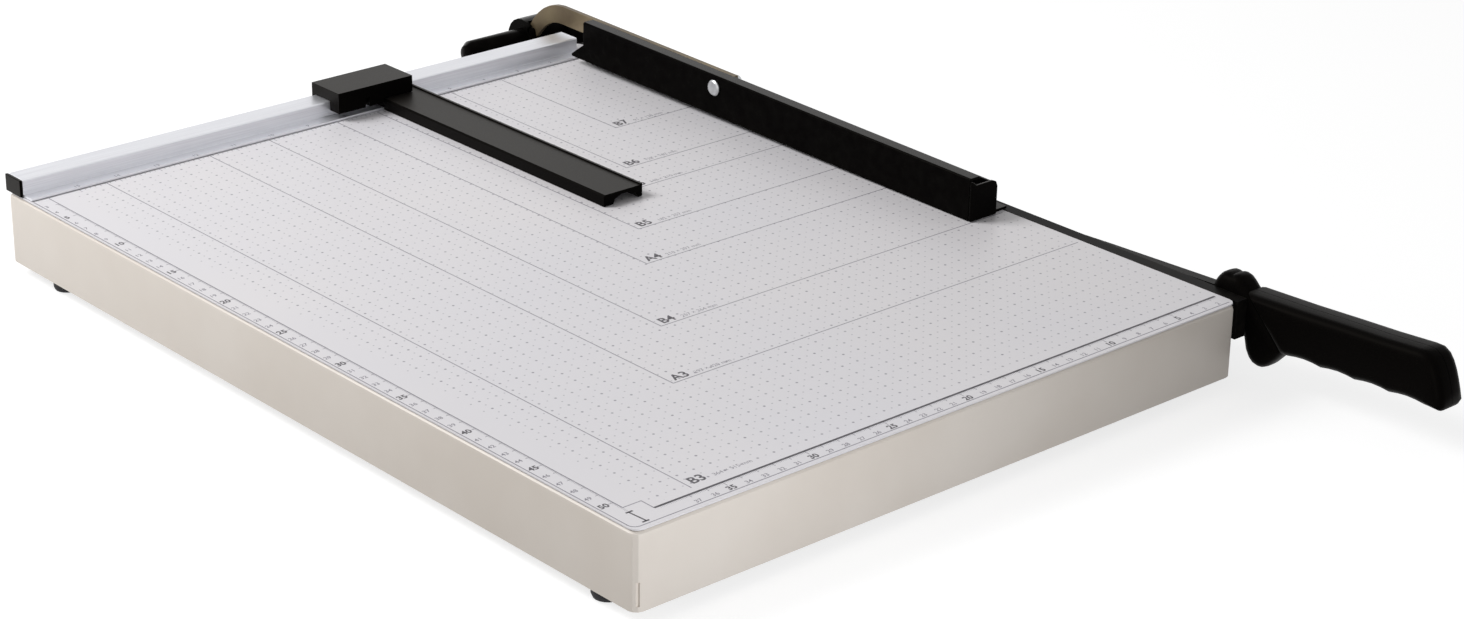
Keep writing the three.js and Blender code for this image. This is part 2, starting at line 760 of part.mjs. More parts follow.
// Shaft with its dog pin, the parts that turn with it, and the balance spring
const shaftLeft = -barrelLeft + barrelEndWall + gap;
const washerLeft = armRight + gap;
const nutLeft = washerLeft + washerThickness + gap;
const shaftRight = nutLeft + nutHeight + shaftProud;
const dogPinX = hubRight - hubCounterboreDepth / 2;

function makeShaft() {
  const shaft = rodX(hingeY, hingeZ, shaftRadius, shaftLeft, shaftRight);
  const hole = rodZ(dogPinX, hingeY, dogPinRadius + gap, hingeZ - shaftRadius - overrun,
    hingeZ + shaftRadius + overrun, smallSides);
  return pieceOf('pivot_shaft', shaft.subtract(hole), toolSteel());
}

function makeDogPin() {
  const reach = hubCounterboreRadius - gap;
  const pin = rodZ(dogPinX, hingeY, dogPinRadius, hingeZ - reach, hingeZ + reach, smallSides);
  return pieceOf('dog_pin', pin, springSteel());
}

function makeShaftNut() {
  const nut = rodX(hingeY, hingeZ, nutRadius, nutLeft, nutLeft + nutHeight, hexSides);
  const thread = rodX(hingeY, hingeZ, shaftRadius + gap, nutLeft - overrun, nutLeft + nutHeight + overrun);
  const washer = ringProfile(shaftRadius + gap, washerRadius, washerLeft, washerLeft + washerThickness);
  return [
    pieceOf('shaft_nut', nut.subtract(thread), zincSteel()),
    pieceOf('shaft_washer', turnedX(washer, hingeY, hingeZ), zincSteel()),
  ];
}

// The spring's wire: rings of points square to a helix about the shaft, with closed ends
function helixPoint(turn, left, pitch) {
  const angle = turn * 2 * Math.PI;
  return new THREE.Vector3(left + turn * pitch, hingeY + springRadius * Math.cos(angle),
    hingeZ + springRadius * Math.sin(angle));
}

function makeSpring() {
  const left = shaftLeft + springEndRoom;
  const right = -barrelRight - barrelBushLength - springEndRoom;
  const pitch = (right - left) / springCurls;
  const rings = springCurls * curlSteps;
  const positions = [];
  for (let ring = 0; ring <= rings; ring += 1) {
    const turn = ring / curlSteps;
    const centre = helixPoint(turn, left, pitch);
    const angle = turn * 2 * Math.PI;
    const outward = new THREE.Vector3(0, Math.cos(angle), Math.sin(angle));
    const around = new THREE.Vector3(0, -Math.sin(angle), Math.cos(angle));
    const tangent = around.multiplyScalar(2 * Math.PI * springRadius);
    tangent.add(new THREE.Vector3(pitch, 0, 0)).normalize();
    const side = new THREE.Vector3().crossVectors(tangent, outward);
    for (let i = 0; i < wireSides; i += 1) {
      const a = i / wireSides * 2 * Math.PI;
      const point = centre.clone()
        .addScaledVector(outward, springWire / 2 * Math.cos(a))
        .addScaledVector(side, springWire / 2 * Math.sin(a));
      positions.push(point.x, point.y, point.z);
    }
  }
  const index = [];
  for (let ring = 0; ring < rings; ring += 1) {
    for (let i = 0; i < wireSides; i += 1) {
      const a = ring * wireSides + i;
      const b = ring * wireSides + (i + 1) % wireSides;
      index.push(a, b, a + wireSides, b, b + wireSides, a + wireSides);
    }
  }
  const last = rings * wireSides;
  for (let i = 1; i < wireSides - 1; i += 1) {
    index.push(0, i + 1, i);
    index.push(last, last + i, last + i + 1);
  }
  const geometry = new THREE.BufferGeometry();
  geometry.setAttribute('position', new THREE.Float32BufferAttribute(positions, 3));
  geometry.setIndex(index);
  geometry.computeVertexNormals();
  const spring = new THREE.Mesh(geometry, springSteel());
  spring.name = 'balance_spring';
  console.log(`balance_spring: least gap between curls ${springGap(left, pitch).toFixed(2)} mm`);
  return spring;
}

function springGap(left, pitch) {
  const samples = springCurls * curlSteps;
  let least = Infinity;
  for (let i = 0; i <= samples; i += 1) {
    const here = helixPoint(i / curlSteps, left, pitch);
    for (let j = i + curlSteps / 2; j <= samples; j += 1) {
      const span = here.distanceTo(helixPoint(j / curlSteps, left, pitch));
      least = Math.min(least, span - springWire);
    }
  }
  return least;
}

// Clamp lever with its hub on the shaft
function makeHub() {
  let hub = rodX(hingeY, hingeZ, hubRadius, hubLeft, hubRight);
  const earLeft = leverRight + gap;
  const ear = rodX(leverPinY, leverPinZ, hubEarRadius, earLeft, earLeft + hubEarWidth);
  hub = hub.add(ear);
  const slotReach = leverPinArm - leverTailWidth / 2 - gap;
  const slot = blockOf(leverLeft - gap, leverRight + gap, hingeY - hubRadius - overrun,
    leverPinY + leverTailWidth / 2 + gap, leverPinZ - leverTailWidth / 2 - gap,
    hingeZ + hubRadius + overrun);
  hub = hub.subtract(slot.subtract(rodX(hingeY, hingeZ, slotReach, hubLeft, hubRight)));
  hub = hub.subtract(rodX(hingeY, hingeZ, shaftRadius + gap, hubLeft - overrun, hubRight + overrun));
  hub = hub.subtract(rodX(hingeY, hingeZ, hubCounterboreRadius, hubRight - hubCounterboreDepth,
    hubRight + overrun));
  hub = hub.subtract(rodX(leverPinY, leverPinZ, leverPinRadius + gap, earLeft - overrun,
    earLeft + hubEarWidth + overrun, smallSides));
  hub = hub.subtract(rodX(leverPinY, leverPinZ, leverPinHeadRadius + gap, hubLeft - overrun,
    leverLeft, smallSides));
  return pieceOf('clamp_hub', hub, blackPaint());
}

function makeLeverPin() {
  const start = leverLeft - gap - leverPinHeadHeight;
  const end = leverRight + gap + hubEarWidth + gap;
  const profile = screwProfile(leverPinHeadRadius, leverPinHeadHeight, leverPinRadius, start, end);
  return pieceOf('lever_pin', turnedX(profile, leverPinY, leverPinZ, smallSides), blackPaint());
}

function makeLever() {
  const front = new THREE.Vector2(pivotY - leverNose, pivotZ + leverRise);
  const bend = new THREE.Vector2(-leverBendLead, pivotZ + leverBendRise);
  const shoulder = new THREE.Vector2(leverShoulder, pivotZ + leverBendRise);
  const tail = new THREE.Vector2(leverPinY, leverPinZ);
  const curve = new THREE.QuadraticBezierCurve(bend, shoulder, tail);
  const along = bend.clone().sub(front).normalize();
  const spine = [{ at: front, along, width: leverFrontWidth }];
  for (let i = 0; i <= leverBendSteps; i += 1) {
    const t = i / leverBendSteps;
    const width = leverFrontWidth + (leverTailWidth - leverFrontWidth) * t;
    spine.push({ at: curve.getPoint(t), along: curve.getTangent(t), width });
  }
  const side = (station, sign) => [
    station.at.x - sign * station.along.y * station.width / 2,
    station.at.y + sign * station.along.x * station.width / 2,
  ];
  const last = spine[spine.length - 1];
  const round = [];
  for (let i = 1; i < leverEndSteps; i += 1) {
    const turn = last.along.angle() + Math.PI / 2 - Math.PI * i / leverEndSteps;
    round.push([
      last.at.x + leverTailWidth / 2 * Math.cos(turn), last.at.y + leverTailWidth / 2 * Math.sin(turn),
    ]);
  }
  const upper = spine.map((station) => side(station, 1));
  const lower = spine.map((station) => side(station, -1)).reverse();
  let lever = alongX([...upper, ...round, ...lower].reverse(), leverLeft, leverRight);
  lever = lever.subtract(rodX(pivotY, pivotZ, rivetRadius + gap, leverLeft - overrun,
    leverRight + overrun, smallSides));
  lever = lever.subtract(rodX(leverPinY, leverPinZ, leverPinRadius + gap, leverLeft - overrun,
    leverRight + overrun, smallSides));
  return pieceOf('clamp_lever', lever, yellowZinc());
}

// Clamp bar, made about its rivet: Y and Z are 0 on the rivet axis in this group
function makeClamp() {
  const rear = clampPivotBack;
  const front = -clampFrontReach;
  const floor = -clampPivotHeight;
  const left = clampLeft;
  const inner = left + clampChannelWidth;
  const top = floor + clampWallHeight;
  const innerTop = floor + clampInnerWallHeight;
  const outline = [
    [left, floor], [left + clampFootWidth, floor], [left + clampFootWidth, floor + clampSheet],
    [inner, floor + clampSheet], [inner, innerTop], [inner - clampSheet, innerTop],
    [inner - clampSheet, floor + clampSheet], [left + clampSheet, floor + clampSheet],
    [left + clampSheet, top - clampSheet], [left + clampFlange, top - clampSheet],
    [left + clampFlange, top], [left + clampSheet / 2, top], [left, top - clampSheet / 2],
  ];
  const hole = rodX(0, 0, rivetRadius + gap, left - overrun, left + clampSheet + overrun, smallSides);
  const step = floor + clampSheet;
  const tailCut = alongX([
    [rear, step], [rear + overrun, step], [rear + overrun, top + overrun],
    [rear - clampTailCut, top + overrun], [rear - clampTailCut, step + clampTailRise],
  ], left - overrun, inner + overrun);
  const bar = alongY(outline, front, rear).subtract(hole).subtract(tailCut);
  const capTop = floor + clampCapHeight;
  const arc = clampCapRound * (1 - Math.SQRT1_2);
  const capOutline = [
    [left, floor], [inner, floor], [inner, capTop - clampCapRound], [inner - arc, capTop - arc],
    [inner - clampCapRound, capTop], [left + clampCapRound, capTop],
    [left + clampSheet / 2, top - clampSheet], [left, top - clampSheet],
  ];
  const cap = alongY(capOutline, front - gap - clampCapThickness, front - gap);
  const headEnd = left - gap - rivetHeadHeight;
  const washer = leverRight + gap;
  const tail = washer + rivetWasherThickness + gap;
  const rivet = turnedX([
    [0, headEnd], [rivetHeadRadius - rivetHeadHeight / 2, headEnd],
    [rivetHeadRadius, headEnd + rivetHeadHeight / 2], [rivetHeadRadius, left - gap],
    [rivetRadius, left - gap], [rivetRadius, tail], [rivetTailRadius, tail],
    [rivetTailRadius, tail + rivetTailHeight], [0, tail + rivetTailHeight],
  ], 0, 0);
  const spacer = (x0, x1) => turnedX(
    ringProfile(rivetRadius + gap, rivetRadius + gap + spacerWall, x0, x1), 0, 0, smallSides);
  const pieces = [
    pieceOf('clamp_bar', bar, blackPaint()),
    pieceOf('clamp_end_cap', cap, blackPlastic()),
    pieceOf('clamp_rivet', rivet, zincSteel()),
    pieceOf('rivet_spacer_left', spacer(left + clampSheet + gap, leverLeft - gap), zincSteel()),
    pieceOf('rivet_spacer_right', spacer(washer, washer + rivetWasherThickness), zincSteel()),
  ];
  const clamp = new THREE.Group();
  clamp.add(...pieces);
  clamp.position.set(0, pivotY, pivotZ);
  clamp.rotation.x = clampTip;
  return clamp;
}

// Blade arm: its outline follows shares of the reach in front of the hinge and of its height
const armPoint = ([along, up]) => [hingeY - along * armReach, hingeZ + up * armHeight];
const tangTop = -tangDrop;
const bladeRear = -bladeRearSetback;
const bladeTop = -bladeTopDrop;
const bladeScrewYs = evenPlaces(bladeScrewCount, bladeRear - bladeLength + bladeScrewEndInset,
  bladeRear - bladeScrewEndInset);
const bladeScrewZ = -bladeScrewDrop;
const gripPoint = ([along, up]) => [
  -gripFrontReach + gripLength * (1 - along), gripTop - up * gripHeight,
];
const gripScrewAt = gripScrewShares.map((share) => [
  -gripFrontReach + gripLength * (1 - share), tangTop - tangHeight / 2 - tangFall * share,
]);

function makeArm() {
  const steps = roundSides / 2;
  const eye = [];
  for (let i = 0; i <= steps; i += 1) {
    const angle = -Math.PI / 2 + Math.PI * i / steps;
    eye.push([hingeY + armEyeRadius * Math.cos(angle), hingeZ + armEyeRadius * Math.sin(angle)]);
  }
  const tang = [
    [neckY, tangTop], [tangEnd, tangTop + tangFall], [tangEnd, tangTop + tangFall - tangHeight],
    [neckY, tangTop - tangHeight],
  ];
  const outline = [...eye, ...armTopShares.map(armPoint), ...tang, ...armBottomShares.map(armPoint)];
  let arm = alongX(outline, armBodyLeft, armRight);
  arm = arm.add(rodX(hingeY, hingeZ, armEyeRadius, armLeft, armRight));
  arm = arm.subtract(rodX(hingeY, hingeZ, shaftRadius + gap, armLeft - overrun, armRight + overrun));
  for (const y of bladeScrewYs) {
    arm = arm.subtract(rodX(y, bladeScrewZ, bladeScrewRadius + gap, armBodyLeft - overrun,
      armRight + overrun, smallSides));
  }
  for (const [y, z] of gripScrewAt) {
    arm = arm.subtract(rodX(y, z, gripScrewRadius + gap, armBodyLeft - overrun, armRight + overrun,
      smallSides));
  }
  return pieceOf('blade_arm', arm, blackPaint());
}

function makeBlade() {
  const toe = bladeRear - bladeLength;
  const middle = bladeRear - bladeLength / 2;
  const edge = new THREE.QuadraticBezierCurve(
    new THREE.Vector2(toe, bladeTop - bladeToeHeight),
    new THREE.Vector2(middle, bladeTop - 2 * bladeBellyHeight + (bladeToeHeight + bladeHeelHeight) / 2),
    new THREE.Vector2(bladeRear, bladeTop - bladeHeelHeight),
  );
  const edgePoints = edge.getPoints(bladeEdgeSteps).map((p) => [p.x, p.y]);
  const outline = [[bladeRear, bladeTop], [toe, bladeTop], ...edgePoints];
  let blade = alongX(outline, armLeft, armLeft + bladeThickness);
  for (const y of bladeScrewYs) {
    blade = blade.subtract(rodX(y, bladeScrewZ, bladeScrewRadius + gap, armLeft + bladeThickness / 2,
      armLeft + bladeThickness + overrun, smallSides));
  }
  return pieceOf('upper_blade', blade, toolSteel());
}

function makeBladeScrews() {
  const seat = armRight + gap;
  const end = armLeft + bladeThickness / 2 + gap;
  return bladeScrewYs.map((y, i) => {
    const profile = screwProfile(bladeScrewHeadRadius, bladeScrewHeadHeight, bladeScrewRadius,
      seat + bladeScrewHeadHeight, end);
    return pieceOf(`blade_screw_${i + 1}`, turnedX(profile, y, bladeScrewZ, smallSides), zincSteel());
  });
}

// Grip: one outline with finger hollows below, split into halves around the tang
function gripOutline() {
  const points = gripTopShares.map(gripPoint);
  const toe = gripPoint(gripToeShares);
  const heel = gripPoint(gripHeelShares);
  for (let i = 0; i <= gripScallops * scallopSteps; i += 1) {
    const t = i / (gripScallops * scallopSteps);
    const hollow = scallopDepth * Math.abs(Math.sin(t * gripScallops * Math.PI));
    points.push([toe[0] + (heel[0] - toe[0]) * t, toe[1] + (heel[1] - toe[1]) * t + hollow]);
  }
  points.push(...gripTailShares.map(gripPoint));
  return points;
}

function makeGrip() {
  const middle = (armBodyLeft + armRight) / 2;
  const left = middle - gripWidth / 2;
  const right = middle + gripWidth / 2;
  const whole = padX(gripOutline(), left, right, gripRounding, gripRoundSteps);
  const pocket = alongX(
    rectangle(tangEnd - gap, neckY, tangTop - tangHeight - gap, tangTop + tangFall + gap),
    armBodyLeft - gap, armRight + gap);
  const hollow = whole.subtract(pocket);
  const half = (x0, x1) => hollow.intersect(
    blockOf(x0, x1, -gripFrontReach - overrun, overrun, -tableDepth, tableDepth));
  let leftHalf = half(left - overrun, middle - gap / 2);
  let rightHalf = half(middle + gap / 2, right + overrun);
  const sink = gripRounding;
  for (const [y, z] of gripScrewAt) {
    leftHalf = leftHalf.subtract(rodX(y, z, gripScrewRadius + gap, left + sink, middle, smallSides));
    rightHalf = rightHalf.subtract(rodX(y, z, gripScrewRadius + gap, middle, right + overrun, smallSides));
    rightHalf = rightHalf.subtract(rodX(y, z, gripScrewHeadRadius + gap, right - gripScrewHeadHeight - gap,
      right + overrun, smallSides));
  }
  const pieces = [
    pieceOf('grip_left', leftHalf, blackPlastic()),
    pieceOf('grip_right', rightHalf, blackPlastic()),
  ];
  gripScrewAt.forEach(([y, z], i) => {
    const profile = screwProfile(gripScrewHeadRadius, gripScrewHeadHeight, gripScrewRadius, right,
      left + sink + gap);
    pieces.push(pieceOf(`grip_screw_${i + 1}`, turnedX(profile, y, z, smallSides), zincSteel()));
  });
  return pieces;
}

function makeGuard() {
  const middle = (armBodyLeft + armRight) / 2;
  const outline = guardShares.map(([along, down]) => [
    -guardBack - along * guardLength, guardTop - down * guardHeight,
  ]);
  const left = middle - guardThickness / 2;
  let guard = padX(outline, left, left + guardThickness, guardRounding, gripRoundSteps);
  const windowOutline = rectangle(-guardBack - guardLength - overrun, -guardBack + overrun,
    tangTop - tangHeight - gap, tangTop + tangFall + gap);
  const window = alongX(windowOutline, armBodyLeft - gap, armRight + gap);
  guard = guard.subtract(window);
  return pieceOf('hilt_guard', guard, blackPlastic());
}

// Gauge: a head that rides on the rail and an arched arm over the table
const gaugeLeft = -gaugeRight - gaugeArmWidth;
const gaugeHeadRight = -gaugeRight - gaugeHeadShift;
const gaugeHeadLeft = gaugeHeadRight - gaugeHeadWidth;
const gaugeRear = railFront - gap;
const gaugeScrewMiddle = (gaugeLeft + gaugeHeadRight) / 2;
const gaugeScrewXs = [gaugeScrewMiddle - gaugeScrewSpread / 2, gaugeScrewMiddle + gaugeScrewSpread / 2];
const gaugeScrewY = (gaugeRear - gaugeHeadFront) / 2;
const gaugeArmZ = gap + gaugeArmHeight;
const gaugeScrewSeat = gaugeArmZ - gaugeArmTop;

function makeGaugeArm() {
  const inner = (gaugeArmWidth - gaugeArmLeg - gaugeArmRightLeg) / 2;
  const middle = gaugeLeft + gaugeArmLeg + inner;
  const crown = gaugeArmZ - gaugeArmTop;
  const arch = [];
  for (let i = 0; i <= gaugeArchSteps; i += 1) {
    const angle = Math.PI * i / gaugeArchSteps;
    arch.push([middle - inner * Math.cos(angle), gap + (crown - gap) * Math.sin(angle)]);
  }
  const edge = gaugeArmTop / 2;
  const outline = [
    [gaugeLeft, gap], ...arch, [-gaugeRight, gap], [-gaugeRight, gaugeArmZ + gaugeRimHeight],
    [-gaugeRight - gaugeRimWidth, gaugeArmZ + gaugeRimHeight], [-gaugeRight - gaugeRimWidth, gaugeArmZ],
    [gaugeLeft + edge, gaugeArmZ], [gaugeLeft, gaugeArmZ - edge],
  ];
  let arm = alongY(outline, gaugeRear - gaugeArmLength, gaugeRear);
  arm = arm.subtract(blockOf(gaugeLeft - overrun, -gaugeRight + overrun, railFront - ledgeDepth - gap,
    overrun, 0, gap + ledgeThickness + gap));
  for (const x of gaugeScrewXs) {
    arm = arm.subtract(rodZ(x, gaugeScrewY, gaugeScrewRadius + gap, 0, gaugeArmZ + overrun, smallSides));
    arm = arm.subtract(rodZ(x, gaugeScrewY, gaugeScrewHeadRadius + gap, 0, gaugeScrewSeat, smallSides));
  }
  return pieceOf('gauge_arm', arm, blackPlastic());
}

function makeGaugeHead() {
  const under = railTop + gap;
  const top = under + gaugeHeadThickness;
  const lipFront = -railRearInset + gap;
  let head = blockOf(gaugeHeadLeft, gaugeHeadRight, -gaugeHeadFront, lipFront + gaugeRearLip, under, top);
  const wallBottom = under - gaugeFrontWallHeight;
  head = head.add(blockOf(gaugeHeadLeft, gaugeHeadRight, -gaugeHeadFront, gaugeRear, wallBottom, top));
  head = head.subtract(blockOf(gaugeLeft - gap, gaugeHeadRight + overrun, -gaugeHeadFront - overrun,
    gaugeRear + gap, wallBottom - overrun, gaugeArmZ + gap));
  head = head.add(blockOf(gaugeHeadLeft, gaugeHeadRight, lipFront, lipFront + gaugeRearLip,
    under - gaugeRearLipHeight, top));
  const padTop = under + gaugePadThickness;
  head = head.subtract(blockOf(gaugeHeadRight - gaugeHeadWidth / 2 - gaugePadWidth / 2 - gap,
    gaugeHeadRight - gaugeHeadWidth / 2 + gaugePadWidth / 2 + gap, railScrewY - gaugePadDepth / 2 - gap,
    railScrewY + gaugePadDepth / 2 + gap, under - overrun, padTop + gap));
  const slotLeft = gaugeHeadLeft + gaugeSlotShift;
  head = head.subtract(blockOf(slotLeft, slotLeft + gaugeSlotWidth, -gaugeHeadFront - overrun,
    gaugeRear - sheet, wallBottom - overrun, under));
  for (const x of gaugeScrewXs) {
    head = head.subtract(rodZ(x, gaugeScrewY, gaugeScrewRadius + gap, gaugeArmZ,
      gaugeArmZ + gaugeScrewReach + gap, smallSides));
  }
  return pieceOf('gauge_head', head, blackPlastic());
}

function makeGaugePad() {
  const middle = gaugeHeadRight - gaugeHeadWidth / 2;
  const pad = blockOf(middle - gaugePadWidth / 2, middle + gaugePadWidth / 2,
    railScrewY - gaugePadDepth / 2, railScrewY + gaugePadDepth / 2, railTop + gap,
    railTop + gap + gaugePadThickness);
  return pieceOf('gauge_friction_pad', pad, finish(0xe8e4da, 0.6, 0));
}

function makeGaugeScrews() {
  const start = gaugeScrewSeat - gap - gaugeScrewHeadHeight;
  return gaugeScrewXs.map((x, i) => {
    const profile = screwProfile(gaugeScrewHeadRadius, gaugeScrewHeadHeight, gaugeScrewRadius, start,
      gaugeArmZ + gaugeScrewReach);
    return pieceOf(`gauge_screw_${i + 1}`, turnedZ(profile, x, gaugeScrewY, smallSides), blackPaint());
  });
}

// The whole trimmer
const base = [
  makeTray(), makePlate(), makeKnife(), makeMountBar(), ...makeKnifeBolts(), ...makeBraces(), ...makeFeet(),
  makeRail(), makeEndCap(), ...makeRailScrews(), makeBracket(), ...makeBracketBolts(), ...makeBushes(),
];
const bladeArm = [
  makeShaft(), makeDogPin(), ...makeShaftNut(), makeSpring(), makeArm(), makeBlade(), ...makeBladeScrews(),
  ...makeGrip(), makeGuard(),
];
const clampParts = [makeHub(), makeLeverPin(), makeLever(), makeClamp()];
const gaugeParts = [makeGaugeArm(), makeGaugeHead(), makeGaugePad(), ...makeGaugeScrews()];

const trimmer = new THREE.Group();
trimmer.add(...base, ...bladeArm, ...clampParts, ...gaugeParts);
const bounds = new THREE.Box3().setFromObject(trimmer, true);
const centre = bounds.getCenter(new THREE.Vector3());
trimmer.position.set(-centre.x, -centre.y, -bounds.min.z);

export default trimmer;
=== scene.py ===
import math

import bmesh
import bpy
from mathutils import Matrix, Vector


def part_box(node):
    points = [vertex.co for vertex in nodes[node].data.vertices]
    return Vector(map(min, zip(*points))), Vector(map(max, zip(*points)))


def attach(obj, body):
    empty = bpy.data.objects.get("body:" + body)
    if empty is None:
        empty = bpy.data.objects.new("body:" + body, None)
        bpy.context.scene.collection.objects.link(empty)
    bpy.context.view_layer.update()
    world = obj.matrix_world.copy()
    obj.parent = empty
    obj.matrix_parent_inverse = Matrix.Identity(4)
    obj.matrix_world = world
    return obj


# A paper trimmer: a steel table with a printed plate, a blade arm hinged behind its right
# side, a clamp bar that comes down with the arm, and a gauge that slides along the fence.
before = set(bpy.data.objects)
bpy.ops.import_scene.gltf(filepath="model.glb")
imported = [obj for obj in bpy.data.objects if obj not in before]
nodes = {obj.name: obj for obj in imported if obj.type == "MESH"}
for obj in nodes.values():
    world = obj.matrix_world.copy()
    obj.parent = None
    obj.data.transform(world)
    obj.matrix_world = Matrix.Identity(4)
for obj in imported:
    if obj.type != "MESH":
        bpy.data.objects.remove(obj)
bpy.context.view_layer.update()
mm = 0.001


# Tray. Sheet steel 1.2 mm thick, folded into a box that is open below, its side flanges turned
# in under it. It is sprayed with cream stoving enamel.

def linear(sheet_colour):
    """An sRGB hex colour as linear red, green, blue and alpha."""
    channels = [int(sheet_colour[i:i + 2], 16) / 255 for i in (1, 3, 5)]
    return [c / 12.92 if c <= 0.04045 else ((c + 0.055) / 1.055) ** 2.4 for c in channels] + [1.0]


def per_metre(millimetres):
    """How many features of that size fit in a metre, which is a texture's scale."""
    return 1 / (millimetres * mm)


def node(tree, kind, inputs=None, stops=None, **settings):
    """Adds a shader or geometry node; an input is a value, or another node's output to link."""
    made = tree.nodes.new(kind)
    for name, value in settings.items():
        setattr(made, name, value)
    for socket, value in (inputs or {}).items():
        if isinstance(value, bpy.types.NodeSocket):
            tree.links.new(value, made.inputs[socket])
        else:
            made.inputs[socket].default_value = value
    for index, (place, colour) in enumerate(stops or []):
        ramp = made.color_ramp.elements
        stop = ramp[index] if index < 2 else ramp.new(place)
        stop.position, stop.color = place, colour
    return made


def finish(name, **constants):
    """A material, its tree, its Principled shader with some sockets set, and where a point lies."""
    material = bpy.data.materials.new(name)
    material.use_nodes = True
    tree = material.node_tree
    shader = tree.nodes["Principled BSDF"]
    for socket, value in constants.items():
        shader.inputs[socket.replace("_", " ").title().replace("Ior", "IOR")].default_value = value
    place = node(tree, "ShaderNodeTexCoord").outputs["Object"]
    return material, tree, shader, place


def vary(shader, pattern, colours=None, dullness=None, relief=None):
    """Lets a pattern from 0 to 1 vary a finish: its colour at two levels of the pattern, its
    roughness from one end to the other, and a bump of some strength and depth in millimetres."""
    tree = shader.id_data
    if colours:
        shades = node(tree, "ShaderNodeValToRGB", {"Fac": pattern},
                      stops=[(level, linear(colour)) for level, colour in colours])
        tree.links.new(shades.outputs["Color"], shader.inputs["Base Color"])
    if dullness:
        dull = node(tree, "ShaderNodeMapRange",
                    {"Value": pattern, "To Min": dullness[0], "To Max": dullness[1]})
        tree.links.new(dull.outputs["Result"], shader.inputs["Roughness"])
    if relief:
        bump = node(tree, "ShaderNodeBump",
                    {"Height": pattern, "Strength": relief[0], "Distance": relief[1] * mm})
        tree.links.new(bump.outputs["Normal"], shader.inputs["Normal"])


def smooth_modifier(piece, angle):
    """Welds the triangles of a mesh, and shades it smooth except over edges sharper than angle."""
    name = f"smooth_under_{angle}"
    tree = bpy.data.node_groups.get(name)
    if tree is None:
        tree = bpy.data.node_groups.new(name, "GeometryNodeTree")
        tree.interface.new_socket("Geometry", in_out="INPUT", socket_type="NodeSocketGeometry")
        tree.interface.new_socket("Geometry", in_out="OUTPUT", socket_type="NodeSocketGeometry")
        source = node(tree, "NodeGroupInput").outputs["Geometry"]
        welded = node(tree, "GeometryNodeMergeByDistance", {"Geometry": source, "Distance": 1e-6})
        plain = node(tree, "GeometryNodeRemoveAttribute",
                     {"Geometry": welded.outputs[0], "Name": "custom_normal"})
        bend = node(tree, "GeometryNodeInputMeshEdgeAngle").outputs["Unsigned Angle"]
        sharp = node(tree, "FunctionNodeCompare", {0: bend, 1: math.radians(angle)},
                     operation="GREATER_THAN")
        edges = node(tree, "GeometryNodeSetShadeSmooth",
                     {"Geometry": plain.outputs[0], "Selection": sharp.outputs[0],
                      "Shade Smooth": False}, domain="EDGE")
        faces = node(tree, "GeometryNodeSetShadeSmooth",
                     {"Geometry": edges.outputs[0], "Shade Smooth": True}, domain="FACE")
        node(tree, "NodeGroupOutput", {"Geometry": faces.outputs[0]})
    modifier = piece.modifiers.new("smooth", "NODES")
    modifier.node_group = tree


flat_within = 0.6   # degrees between triangles that make one flat face
edge_steps = 3


def dress(names, material, edge=0.0, angle=36):
    """Gives CAD nodes their finish, and a small round of edge millimetres on their corners."""
    for name in names:
        piece = nodes[name]
        piece.data.materials.clear()
        piece.data.materials.append(material)
        if edge:
            smooth_modifier(piece, 180)
            flat = piece.modifiers.new("flat", "DECIMATE")
            flat.decimate_type = "DISSOLVE"
            flat.angle_limit = math.radians(flat_within)
            bevel = piece.modifiers.new("edge", "BEVEL")
            bevel.width = edge * mm
            bevel.segments = edge_steps
            bevel.limit_method = "ANGLE"
            bevel.angle_limit = math.radians(angle)
            bevel.use_clamp_overlap = True
            bevel.harden_normals = False
        smooth_modifier(piece, angle)
        if edge:
            weighted = piece.modifiers.new("weighted", "WEIGHTED_NORMAL")
            weighted.keep_sharp = True


# Stoving enamel on steel, sprayed: a soft satin skin with a fine orange peel that the lamps
# break up on, a shade warmer where the coat is thicker.
cream_enamel, tree, shader, place = finish("cream_stoving_enamel", ior=1.5)
coat = node(tree, "ShaderNodeTexNoise", {"Vector": place, "Scale": per_metre(70), "Detail": 3.0})
vary(shader, coat.outputs["Fac"], [(0.35, "#D9D0C6"), (0.65, "#DFD7CE")], dullness=(0.36, 0.48))
peel = node(tree, "ShaderNodeTexNoise", {"Vector": place, "Scale": per_metre(1.6), "Detail": 2.0})
vary(shader, peel.outputs["Fac"], relief=(0.12, 0.05))

dress(["base_tray"], cream_enamel, angle=25)


# Cross braces, knife bolts and foot screws. The braces are pressed from galvanised strip and lie
# under the table; four bolts hold the fixed knife and a screw each foot, all zinc plated.

# Bright zinc plate on steel: a faintly blue grey that clouds from spot to spot.
zinc_plate, tree, shader, place = finish("bright_zinc_plate", metallic=1.0)
cloud = node(tree, "ShaderNodeTexNoise", {"Vector": place, "Scale": per_metre(4), "Detail": 4.0})
vary(shader, cloud.outputs["Fac"], [(0.3, "#AEB0B2"), (0.7, "#C9CACB")], dullness=(0.25, 0.42))

foot_places = ["front_left", "rear_left", "front_right", "rear_right"]
dress(["cross_brace_1", "cross_brace_2"], zinc_plate, edge=0.4)
dress([f"knife_bolt_{i}" for i in (1, 2, 3, 4)], zinc_plate, edge=0.15)
dress([f"foot_screw_{name}" for name in foot_places], zinc_plate, edge=0.15)


# Feet. Four long round-ended feet of moulded black rubber under the tray's corners, each drawn
# up against its flange by a screw from below.

# Natural rubber from a plain mould: dull, a little dusty in faint clouds all over.
black_rubber, tree, shader, place = finish("black_moulded_rubber", roughness=0.78, ior=1.52)
dust = node(tree, "ShaderNodeTexNoise", {"Vector": place, "Scale": per_metre(3), "Detail": 5.0})
vary(shader, dust.outputs["Fac"], [(0.4, "#151417"), (0.8, "#232226")], relief=(0.2, 0.05))

dress([f"foot_{name}" for name in foot_places], black_rubber)


